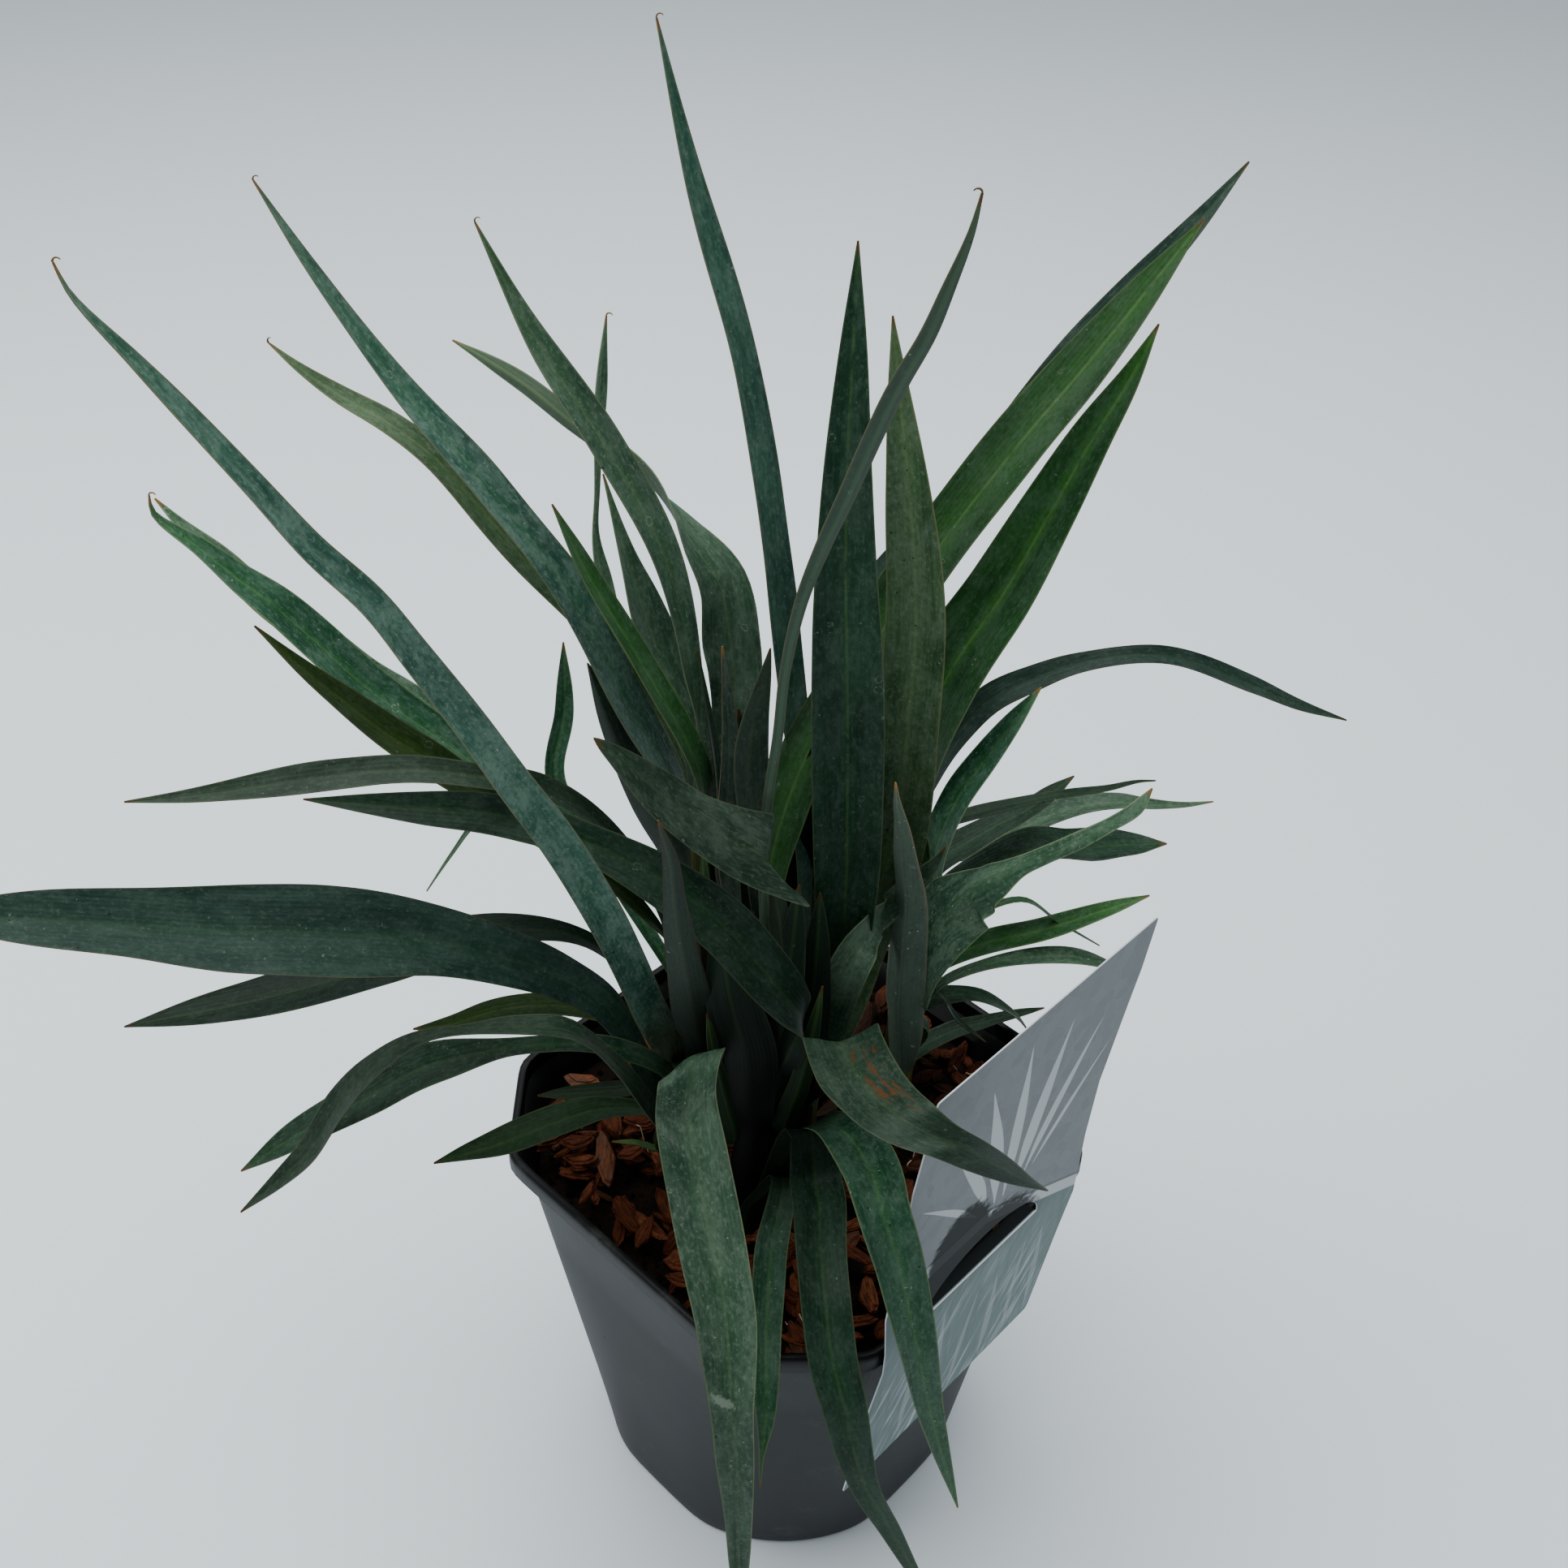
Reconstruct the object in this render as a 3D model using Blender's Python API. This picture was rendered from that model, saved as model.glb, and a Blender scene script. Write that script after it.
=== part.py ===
"""Flax lily in a square-round nursery pot, with its potting mix, bark mulch and plant label.

Sizes are in millimetres here and turned into metres when a mesh is made. The origin is the centre of
the pot's underside, +Z is up and -Y is the side that faces the viewer. Two flat sides of the pot face
the front left and the front right, so a cut corner faces -Y.
"""
import math

import bmesh
import bpy
from mathutils import Quaternion, Vector, noise

MM = 0.001
GAP = 0.4                       # clearance kept between touching pieces

# Pot
POT_HEIGHT = 170.0
LIP_FLATS = 85.0                # axis to the flat sides, at the lip
LIP_CORNER = 98.4               # axis to the cut corners, at the lip
LIP_DEPTH = 8.0
LIP_STEP = 5.5                  # how far the lip stands out from the wall
BASE_FLATS = 67.0
BASE_RADIUS = 69.7
WALL = 1.6
LIP_WALL = 3.0
FLOOR = 3.0
CORNER_SHARPNESS = 60.0         # higher is a crisper turn between a flat side and a cut corner
POT_SIDES = 40
DRAIN_HOLES = 8
DRAIN_RADIUS = 5.0
DRAIN_RING = 48.0

# Filling
MIX_TOP = 147.6
MULCH_TOP = 152.0
CHIP_HEIGHT = 5.0               # how far the bark chips stand above the bed
SHOOT_FOOT = 152.4
MIX_INSET = 2.8                 # outer face of the wall to the potting mix
MULCH_INSET = 2.6

# Leaf
MIDRIB_THICK = 1.0
EDGE_THICK = 0.6
TIP_WIDTH = 1.5
FOOT_SHARE = 0.42               # width at the foot as a share of the greatest width
FOOT_WIDTH = 6.5                # most that a foot measures across
KEEL = 13.0                     # degrees that each half of the blade rises from flat
TAPER = 1.7

# Label
LABEL_THICK = 0.5
LABEL_SIDE = -45.0              # azimuth of the pot side that carries it
LABEL_OUT = 86.3                # axis to the card's middle


def clear_scene():
    for item in list(bpy.data.objects):
        bpy.data.objects.remove(item, do_unlink=True)


def finish(name, colour, roughness, metallic=0.0):
    """Give one piece a plain material of its own."""
    material = bpy.data.materials.new(name)
    material.use_nodes = True
    shader = material.node_tree.nodes["Principled BSDF"]
    shader.inputs["Base Color"].default_value = (*colour, 1.0)
    shader.inputs["Roughness"].default_value = roughness
    shader.inputs["Metallic"].default_value = metallic
    return material


def add_object(name, bm, material, sharp=40.0):
    mesh = bpy.data.meshes.new(name)
    bmesh.ops.recalc_face_normals(bm, faces=bm.faces)
    bm.to_mesh(mesh)
    bm.free()
    mesh.materials.append(material)
    mesh.shade_smooth()
    mesh.set_sharp_from_angle(angle=math.radians(sharp))
    item = bpy.data.objects.new(name, mesh)
    bpy.context.scene.collection.objects.link(item)
    return item


def loft(rings):
    """Closed body through rings of equal count, given in millimetres, with both ends capped."""
    bm = bmesh.new()
    loops = [[bm.verts.new(Vector(point) * MM) for point in ring] for ring in rings]
    count = len(loops[0])
    for low, high in zip(loops, loops[1:]):
        for i in range(count):
            j = (i + 1) % count
            bm.faces.new((low[i], low[j], high[j], high[i]))
    bm.faces.new(list(reversed(loops[0])))
    bm.faces.new(loops[-1])
    return bm


def mix(a, b, t):
    return a + (b - a) * t


def clamp01(t):
    return min(1.0, max(0.0, t))


# Pot

def pot_radius(azimuth, flats, corner, roundness):
    """Distance from the axis to a square outline whose corners are cut flat (0) or round (1)."""
    off_flat = (azimuth - 45.0 + 45.0) % 90.0 - 45.0
    flat = flats / math.cos(math.radians(off_flat))
    cut = corner / math.cos(math.radians(45.0 - abs(off_flat)))
    reach = mix(cut, corner, roundness)
    blend = (flats / flat) ** CORNER_SHARPNESS + (flats / reach) ** CORNER_SHARPNESS
    return flats * blend ** (-1.0 / CORNER_SHARPNESS)


def pot_ring(z, flats, corner, roundness):
    ring = []
    for i in range(POT_SIDES):
        azimuth = 360.0 * i / POT_SIDES
        radius = pot_radius(azimuth, flats, corner, roundness)
        turn = math.radians(azimuth)
        ring.append((radius * math.cos(turn), radius * math.sin(turn), z))
    return ring


def wall_ring(z, inset):
    """Outline of the tapering wall at one height, moved in from its outer face."""
    low_z = FLOOR
    high_z = POT_HEIGHT - LIP_DEPTH - 2.0
    low = pot_ring(low_z, BASE_FLATS, BASE_RADIUS, 1.0)
    high = pot_ring(high_z, LIP_FLATS - LIP_STEP, LIP_CORNER - LIP_STEP, 0.0)
    t = (z - low_z) / (high_z - low_z)
    ring = []
    for a, b in zip(low, high):
        x = mix(a[0], b[0], t)
        y = mix(a[1], b[1], t)
        keep = 1.0 - inset / math.hypot(x, y)
        ring.append((x * keep, y * keep, z))
    return ring


def make_pot():
    under_lip = POT_HEIGHT - LIP_DEPTH
    rings = [
        pot_ring(0.0, BASE_FLATS - 2.5, BASE_RADIUS - 2.5, 1.0),
        pot_ring(1.0, BASE_FLATS - 0.8, BASE_RADIUS - 0.8, 1.0),
        wall_ring(FLOOR, 0.0),
        wall_ring(80.0, 0.0),
        wall_ring(under_lip - 2.0, 0.0),
        pot_ring(under_lip, LIP_FLATS - 0.6, LIP_CORNER - 0.6, 0.0),
        pot_ring(under_lip + 1.0, LIP_FLATS, LIP_CORNER, 0.0),
        pot_ring(POT_HEIGHT - 1.0, LIP_FLATS, LIP_CORNER, 0.0),
        pot_ring(POT_HEIGHT, LIP_FLATS - 0.8, LIP_CORNER - 0.8, 0.0),
        pot_ring(POT_HEIGHT, LIP_FLATS - LIP_WALL + 0.7, LIP_CORNER - LIP_WALL + 0.7, 0.0),
        pot_ring(POT_HEIGHT - 1.0, LIP_FLATS - LIP_WALL, LIP_CORNER - LIP_WALL, 0.0),
        pot_ring(under_lip + 1.0, LIP_FLATS - LIP_WALL, LIP_CORNER - LIP_WALL, 0.0),
        wall_ring(under_lip - 3.5, WALL),
        wall_ring(80.0, WALL),
        wall_ring(FLOOR, WALL),
    ]
    pot = add_object("pot", loft(rings), finish("pot", (0.035, 0.037, 0.042), 0.42), 30.0)
    cut_drain_holes(pot)


def cut_drain_holes(pot):
    bm = bmesh.new()
    for i in range(DRAIN_HOLES):
        turn = 2.0 * math.pi * (i + 0.5) / DRAIN_HOLES
        made = bmesh.ops.create_cone(bm, cap_ends=True, segments=12, depth=4.0 * FLOOR * MM,
                                     radius1=DRAIN_RADIUS * MM, radius2=DRAIN_RADIUS * MM)
        place = Vector((math.cos(turn), math.sin(turn), 0.0)) * DRAIN_RING * MM
        bmesh.ops.translate(bm, verts=made["verts"], vec=place)
    cutter = add_object("drain_cutter", bm, pot.data.materials[0])
    cutter.hide_render = True
    cutter.display_type = "WIRE"
    holes = pot.modifiers.new("drain_holes", "BOOLEAN")
    holes.operation = "DIFFERENCE"
    holes.solver = "EXACT"
    holes.object = cutter


# Filling

def make_potting_mix():
    heights = (FLOOR + GAP, 80.0, MIX_TOP)
    rings = [wall_ring(z, MIX_INSET) for z in heights]
    add_object("potting_mix", loft(rings), finish("potting_mix", (0.03, 0.018, 0.012), 0.95), 30.0)


def chip_bump(x, y):
    """Height of the loose bark over the bed, fading out at the feet of the shoots and at the wall."""
    lump = noise.noise(Vector((x * 0.055, y * 0.055, 3.1))) + 0.45 * noise.noise(Vector((x * 0.13, y * 0.13, 7.7)))
    height = CHIP_HEIGHT * clamp01(0.55 + 0.9 * lump)
    for shoot in SHOOTS.values():
        away = math.hypot(x - shoot["foot"][0], y - shoot["foot"][1])
        height *= clamp01((away - 15.0) / 12.0)
    return height


def make_bark_mulch():
    under = MIX_TOP + GAP
    outer = wall_ring(MULCH_TOP, MULCH_INSET)
    shares = (1.0, 0.9, 0.77, 0.62, 0.47, 0.31, 0.15)
    rings = [wall_ring(under, MULCH_INSET)]
    for share in shares:
        ring = []
        for x, y, z in outer:
            rise = chip_bump(x * share, y * share) if share < 1.0 else 0.0
            ring.append((x * share, y * share, MULCH_TOP + rise))
        rings.append(ring)
    add_object("bark_mulch", loft(rings), finish("bark_mulch", (0.13, 0.045, 0.022), 0.9), 20.0)


# Shoots: each is a fan's stem of folded leaf sheaths, an ellipse that narrows upward
SHOOTS = {
    "main": {"foot": (-16, -30), "top": (-12, -24, 300), "wide": (10, 3.6), "thick": (7, 2.8), "turn": 60},
    "centre": {"foot": (-2, -11), "top": (4, -9, 262), "wide": (7.5, 3.2), "thick": (6, 2.8), "turn": 40},
    "left": {"foot": (-36, -10), "top": (-42, -12, 226), "wide": (9, 3.5), "thick": (6.5, 3), "turn": 95},
    "back": {"foot": (-24, 10), "top": (-34, 14, 300), "wide": (9, 3.4), "thick": (6.5, 2.8), "turn": 75},
    "right": {"foot": (36, 23), "top": (40, 26, 224), "wide": (8, 3), "thick": (5.6, 2.5), "turn": 100},
}
SHOOT_SIDES = 10
SHOOT_STEPS = 5


def shoot_at(shoot, z):
    """Centre and half-widths of a shoot at one height."""
    t = (z - SHOOT_FOOT) / (shoot["top"][2] - SHOOT_FOOT)
    centre = Vector((mix(shoot["foot"][0], shoot["top"][0], t), mix(shoot["foot"][1], shoot["top"][1], t), z))
    return centre, mix(*shoot["wide"], t), mix(*shoot["thick"], t)


def shoot_reach(shoot, z, azimuth):
    """Distance from a shoot's centre to its surface in one direction."""
    centre, wide, thick = shoot_at(shoot, z)
    turn = math.radians(azimuth - shoot["turn"])
    return wide * thick / math.hypot(thick * math.cos(turn), wide * math.sin(turn))


def make_shoot(name, shoot):
    rings = []
    for step in range(SHOOT_STEPS + 1):
        z = mix(SHOOT_FOOT, shoot["top"][2], step / SHOOT_STEPS)
        centre, wide, thick = shoot_at(shoot, z)
        ring = []
        for i in range(SHOOT_SIDES):
            azimuth = shoot["turn"] + 360.0 * i / SHOOT_SIDES
            reach = shoot_reach(shoot, z, azimuth)
            turn = math.radians(azimuth)
            ring.append(centre + Vector((math.cos(turn), math.sin(turn), 0.0)) * reach)
        rings.append(ring)
    add_object("shoot_" + name, loft(rings), finish("shoot_" + name, (0.16, 0.17, 0.06), 0.6))


# Leaves

DEEP = (0.035, 0.085, 0.06)
BRIGHT = (0.05, 0.14, 0.055)
BLUE_GREY = (0.11, 0.15, 0.14)
GREY_GREEN = (0.12, 0.16, 0.13)
PALE = (0.17, 0.22, 0.16)
PURPLE = (0.075, 0.06, 0.065)
OLIVE = (0.12, 0.13, 0.05)

# Every leaf: its shoot, the height and azimuth of its foot, its greatest width, the azimuth it leans to,
# the points that it runs through to its tip, its roll from foot to tip, and where it is widest.
LEAVES = [
    # main shoot, low leaves arching over the front
    dict(name="front_second", shoot="main", foot=(160, 262), wide=12, lean=268, colour=DEEP,
         route=[(-12, -43, 184), (-10, -66, 179), (-11, -98, 175), (-12, -110, 170), (-13, -119, 159),
                (-13, -126, 132)]),
    dict(name="front_centre", shoot="main", foot=(164, 292), wide=17, lean=278, colour=DEEP, widest=0.35,
         route=[(-2, -41, 198), (3, -55, 202), (4, -82, 201), (5, -98, 197), (8, -110, 188), (14, -122, 161),
                (23, -125, 143), (46, -125, 71)]),
    dict(name="front_right", shoot="main", foot=(168, 330), wide=18, lean=292, colour=DEEP,
         widest=0.3, route=[(3, -36, 203), (6, -50, 221), (11, -68, 237), (16, -89, 246), (18, -101, 245),
                            (22, -106, 234), (29, -114, 207), (36, -118, 174), (49, -120, 123)]),
    # main shoot, upright and high leaves
    dict(name="left_arc_dark", shoot="main", foot=(214, 300), wide=18, lean=165, colour=DEEP,
         widest=0.35, roll=(0, -45, -50, -50, -45), route=[(-3, -42, 259), (-7, -43, 267), (-14, -42, 278),
                                                           (-28, -37, 294), (-48, -29, 305), (-71, -21, 312),
                                                           (-92, -15, 314), (-115, -10, 312), (-150, -2, 308)]),
    dict(name="centre_folded", shoot="main", foot=(240, 315), wide=22, lean=175, colour=GREY_GREEN,
         widest=0.6, roll=(0, 0, -20, -35, -35), route=[(-6, -32, 262), (-4, -33, 280), (-6, -41, 311),
                                                        (-14, -40, 322), (-28, -36, 329), (-43, -31, 337),
                                                        (-63, -27, 351)]),
    dict(name="tall_back", shoot="centre", foot=(244, 150), wide=14, lean=165, colour=BLUE_GREY,
         roll=(0, -20, -30, -30), route=[(-2, 4, 280), (-4, 17, 304), (-8, 19, 332), (-14, 22, 381),
                                         (-18, 24, 407), (-24, 26, 437), (-37, 30, 481), (-46, 34, 519)]),
    dict(name="narrow_arch", shoot="main", foot=(282, 240), wide=8, lean=285, colour=BLUE_GREY,
         widest=0.6, route=[(-15, -27, 326), (-13, -35, 359), (-12, -38, 381), (-9, -42, 404), (-5, -46, 421),
                            (0, -51, 439), (4, -55, 454), (8, -59, 468), (13, -62, 481), (16, -64, 492),
                            (19, -66, 504), (20, -68, 513)]),
    dict(name="grey_inner", shoot="main", foot=(272, 135), wide=11, lean=120, colour=GREY_GREEN,
         route=[(-18, -16, 310), (-20, -12, 338), (-15, -8, 368)]),
    dict(name="purple_back", shoot="main", foot=(244, 165), wide=9, lean=140, colour=PURPLE,
         route=[(-26, -12, 296), (-26, -5, 336), (-28, 0, 363)]),
    dict(name="right_top", shoot="centre", foot=(236, 110), wide=15, lean=35, colour=BLUE_GREY,
         roll=(0, 10, 10), route=[(6, 10, 280), (8, 30, 322), (18, 42, 354), (43, 47, 386), (54, 50, 405),
                                  (70, 54, 428), (97, 60, 460), (110, 63, 478)]),
    dict(name="right_upper", shoot="main", foot=(262, 100), wide=22, lean=25, colour=BRIGHT,
         widest=0.6, roll=(0, 15, 15), route=[(-12, -6, 292), (-2, 8, 320), (9, 17, 336), (21, 25, 357),
                                              (32, 29, 376), (54, 34, 410), (69, 38, 430), (96, 45, 469)]),
    # centre shoot
    dict(name="centre_dark", shoot="centre", foot=(205, 60), wide=22, lean=90, colour=DEEP,
         widest=0.52, route=[(11, -6, 235), (11, -5, 275), (9, -3, 320), (7, -1, 355), (5, 3, 385),
                             (4, 8, 415), (4, 14, 444), (4, 20, 470)]),
    dict(name="centre_pale", shoot="centre", foot=(176, 80), wide=20, lean=75, colour=PALE,
         route=[(14, 2, 212), (24, 15, 240), (31, 14, 281), (29, 10, 331), (26, 9, 371), (21, 11, 407),
                (17, 15, 431), (14, 20, 451)]),
    dict(name="front_folded", shoot="centre", foot=(160, 300), wide=23, lean=329, colour=GREY_GREEN,
         widest=0.42, steps=14, route=[(4, -24, 200), (7, -40, 238), (8, -56, 265), (10, -67, 270),
                                       (12, -78, 273), (17, -90, 278), (24, -99, 281), (31, -103, 280),
                                       (39, -103, 275), (49, -100, 264), (65, -92, 244)]),
    dict(name="right_mid", shoot="right", foot=(214, 200), wide=23, lean=25, colour=BRIGHT,
         roll=(0, 15, 15), route=[(34, 24, 265), (33, 26, 300), (40, 29, 333), (55, 33, 362), (66, 36, 388),
                                  (75, 39, 409), (83, 42, 425), (89, 45, 440)]),
    dict(name="right_arch", shoot="right", foot=(206, 145), wide=9, lean=10, colour=BLUE_GREY,
         roll=(0, 25, 25), route=[(34, 36, 262), (42, 38, 294), (49, 39, 308), (57, 40, 318), (69, 42, 324),
                                  (83, 44, 329), (110, 48, 330), (142, 53, 316), (161, 56, 306),
                                  (180, 59, 298)]),
    dict(name="right_curved", shoot="centre", foot=(186, 345), wide=10, lean=20, colour=DEEP,
         route=[(11, -18, 219), (14, -18, 244), (23, -11, 267), (36, -4, 280), (41, -2, 292)]),
    # right shoot
    dict(name="right_keeled", shoot="right", foot=(166, 255), wide=15, lean=270, colour=PURPLE,
         route=[(34, 7, 212), (32, 3, 264), (24, -4, 319)]),
    dict(name="right_small", shoot="right", foot=(208, 5), wide=10, lean=30, colour=DEEP,
         route=[(46, 26, 228), (44, 28, 246), (43, 27, 266), (48, 29, 286), (57, 32, 302), (71, 37, 325)]),
    dict(name="right_torn", shoot="right", foot=(170, 320), wide=26, lean=0, colour=DEEP,
         roll=(0, 10, 20), route=[(43, 9, 208), (49, 11, 243), (64, 11, 263), (81, 14, 275), (112, 20, 299)]),
    dict(name="right_slender", shoot="right", foot=(218, 90), wide=6, lean=20, colour=DEEP,
         route=[(39, 35, 250), (46, 37, 267), (56, 41, 270), (87, 51, 271), (121, 63, 269)]),
    dict(name="right_behind", shoot="right", foot=(210, 96), wide=11, lean=30, colour=DEEP,
         route=[(42, 40, 237), (51, 44, 250), (65, 50, 257), (91, 65, 268)]),
    dict(name="right_speckled", shoot="right", foot=(190, 90), wide=9, lean=20, colour=GREY_GREEN,
         widest=0.6, route=[(43, 48, 223), (50, 54, 238), (56, 57, 243), (83, 65, 251), (107, 72, 250),
                            (144, 84, 242)]),
    dict(name="right_flat", shoot="right", foot=(198, 45), wide=14, lean=25, colour=DEEP,
         widest=0.6, route=[(46, 34, 229), (52, 39, 242), (65, 45, 246), (93, 52, 247), (125, 60, 243)]),
    dict(name="right_bright", shoot="right", foot=(180, 40), wide=10, lean=5, colour=BRIGHT, roll=(0, 15, 15),
         route=[(45, 30, 203), (49, 31, 210), (64, 31, 220), (84, 31, 227), (103, 33, 234), (119, 34, 241)]),
    dict(name="right_low", shoot="right", foot=(174, 350), wide=8, lean=0, colour=DEEP, widest=0.7,
         route=[(45, 22, 198), (50, 22, 210), (68, 23, 219), (93, 24, 221), (113, 24, 215)]),
    dict(name="rim_arc", shoot="right", foot=(166, 15), wide=8, lean=5, colour=DEEP,
         route=[(47, 25, 186), (50, 26, 196), (61, 27, 200), (77, 28, 189), (84, 29, 179)]),
    dict(name="rim_low", shoot="right", foot=(154, 50), wide=7, lean=20, colour=DEEP,
         route=[(44, 31, 168), (56, 34, 176), (80, 40, 177), (93, 44, 175)]),
    # left shoot
    dict(name="purple_left", shoot="left", foot=(192, 305), wide=13, lean=270, colour=PURPLE,
         route=[(-37, -26, 227), (-39, -40, 271), (-42, -48, 308), (-46, -50, 340)]),
    dict(name="front_left", shoot="left", foot=(178, 285), wide=20, lean=270, colour=GREY_GREEN, widest=0.3,
         steps=14, route=[(-33, -28, 210), (-36, -43, 244), (-36, -65, 240), (-34, -75, 232), (-30, -87, 220),
                          (-26, -100, 212), (-22, -124, 185), (-20, -134, 146), (-18, -138, 80)]),
    dict(name="far_left", shoot="left", foot=(208, 215), wide=12, lean=195, colour=BLUE_GREY,
         roll=(0, -30, -15, -5, 0), route=[(-50, -21, 240), (-62, -32, 290), (-82, -41, 345), (-103, -48, 391),
                                           (-121, -54, 425), (-142, -59, 460), (-154, -61, 479),
                                           (-160, -61, 492)]),
    dict(name="left_arc_upper", shoot="left", foot=(218, 80), wide=9, lean=190, colour=GREY_GREEN,
         roll=(0, -20, -25, -25), route=[(-43, -3, 258), (-60, -3, 296), (-78, -8, 318), (-95, -18, 330),
                                         (-113, -23, 336), (-131, -27, 337), (-168, -34, 335), (-186, -37, 335)]),
    dict(name="big_left", shoot="left", foot=(172, 225), wide=26, lean=200, colour=BLUE_GREY,
         widest=0.62, roll=(0, -15, -25, -25), route=[(-49, -20, 205), (-63, -24, 246), (-76, -27, 261),
                                                      (-91, -33, 275), (-110, -40, 288), (-135, -49, 299),
                                                      (-161, -58, 308), (-185, -67, 319), (-208, -75, 328),
                                                      (-228, -82, 336)]),
    dict(name="left_below", shoot="left", foot=(204, 128), wide=15, lean=185, colour=DEEP,
         widest=0.6, roll=(0, 0, -10, -15), route=[(-50, -6, 231), (-70, -8, 258), (-93, -10, 263),
                                                   (-128, -14, 253), (-168, -18, 241), (-212, -22, 232)]),
    dict(name="left_brown_tip", shoot="left", foot=(184, 208), wide=8, lean=190, colour=OLIVE,
         route=[(-50, -12, 213), (-75, -14, 233), (-100, -18, 235), (-122, -22, 233)]),
    dict(name="left_drooping", shoot="left", foot=(190, 255), wide=13, lean=200, colour=DEEP,
         widest=0.7, roll=(0, 30, 20, -10, -10), route=[(-45, -29, 223), (-64, -34, 239), (-88, -39, 243),
                                                        (-106, -44, 243), (-117, -46, 240), (-132, -50, 232),
                                                        (-153, -56, 222), (-171, -60, 210)]),
    dict(name="left_twisted", shoot="left", foot=(162, 262), wide=11, lean=205, colour=GREY_GREEN,
         widest=0.6, roll=(0, -10, 10, 0, -20), route=[(-43, -28, 185), (-48, -34, 204), (-60, -42, 236),
                                                       (-73, -49, 256), (-86, -53, 262), (-99, -58, 265),
                                                       (-111, -62, 269), (-123, -67, 267), (-131, -73, 262),
                                                       (-141, -78, 252), (-151, -83, 237), (-171, -91, 218)]),
    dict(name="left_low_bright", shoot="left", foot=(160, 165), wide=6, lean=190, colour=BRIGHT,
         route=[(-49, -9, 182), (-56, -11, 191), (-71, -14, 194), (-86, -16, 195)]),
    dict(name="left_low_broad", shoot="left", foot=(155, 215), wide=12, lean=205, colour=BRIGHT,
         route=[(-48, -19, 172), (-64, -25, 195), (-86, -34, 198), (-116, -48, 200)]),
    # back shoot
    dict(name="upper_left_long", shoot="back", foot=(278, 180), wide=13, lean=165, colour=BLUE_GREY,
         roll=(0, -20, -20), route=[(-41, 13, 300), (-56, 17, 330), (-72, 21, 367), (-93, 26, 397), (-115, 32, 423),
                                    (-135, 38, 452), (-148, 41, 475)]),
    dict(name="upper_left_pale", shoot="back", foot=(236, 95), wide=10, lean=160, colour=PALE,
         roll=(0, -15, -15), route=[(-40, 33, 294), (-64, 33, 343), (-86, 33, 373), (-108, 39, 397),
                                    (-135, 48, 412), (-155, 56, 425)]),
    dict(name="upper_left_inner", shoot="back", foot=(290, 255), wide=12, lean=155, colour=GREY_GREEN,
         roll=(0, -15, -20), route=[(-35, 8, 330), (-44, 14, 382), (-60, 20, 413), (-78, 29, 439),
                                    (-93, 37, 468)]),
    dict(name="upper_left_twist", shoot="back", foot=(285, 25), wide=21, lean=150, colour=GREY_GREEN,
         widest=0.36, steps=14, roll=(0, -30, -50, 10, 80, 110, 110), route=[(-19, 22, 327), (-23, 26, 347),
                                                                             (-30, 30, 364), (-36, 34, 375),
                                                                             (-43, 38, 381), (-56, 46, 393),
                                                                             (-73, 56, 401), (-88, 66, 408),
                                                                             (-108, 80, 415)]),
    dict(name="back_thin", shoot="back", foot=(222, 80), wide=6, lean=140, colour=GREY_GREEN,
         route=[(-38, 34, 262), (-50, 42, 294), (-62, 56, 334), (-65, 59, 365), (-62, 58, 402), (-59, 56, 429)]),
    dict(name="back_broad", shoot="back", foot=(270, 100), wide=15, lean=145, colour=GREY_GREEN,
         route=[(-36, 22, 312), (-47, 27, 342), (-56, 32, 372), (-62, 36, 396)]),
    dict(name="left_bright", shoot="back", foot=(256, 260), wide=9, lean=160, colour=BRIGHT,
         route=[(-33, 0, 290), (-34, -5, 322), (-50, -3, 358), (-65, 1, 386), (-73, 4, 404)]),
    dict(name="left_pair_upper", shoot="back", foot=(226, 180), wide=11, lean=180, colour=GREY_GREEN,
         widest=0.6, roll=(0, -20, -20), route=[(-44, 13, 247), (-54, 21, 264), (-95, 26, 298),
                                                (-117, 26, 321), (-141, 26, 343), (-164, 26, 369),
                                                (-177, 26, 387)]),
    dict(name="left_pair_lower", shoot="back", foot=(216, 240), wide=13, lean=185, colour=DEEP,
         widest=0.6, roll=(0, -20, -20), route=[(-40, 6, 244), (-54, 12, 267), (-90, 14, 299), (-118, 12, 327),
                                                (-138, 10, 353), (-156, 8, 374), (-173, 7, 400)]),
    dict(name="left_olive", shoot="back", foot=(204, 262), wide=11, lean=190, colour=OLIVE,
         widest=0.55, roll=(0, -20, -20), route=[(-40, 2, 240), (-60, 1, 272), (-96, 0, 307), (-121, -4, 334),
                                                 (-140, -8, 358), (-151, -9, 373)]),
    dict(name="left_stub", shoot="back", foot=(190, 150), wide=7, lean=150, colour=GREY_GREEN,
         route=[(-60, 30, 245), (-81, 40, 282), (-77, 39, 312), (-76, 38, 338)]),
    dict(name="dark_left", shoot="back", foot=(196, 145), wide=14, lean=160, colour=DEEP,
         route=[(-37, 20, 232), (-41, 22, 262), (-54, 23, 293), (-63, 25, 320), (-68, 27, 338)]),
]
LEAF_STEPS = 10
SPAN_SAMPLES = 12


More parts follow.
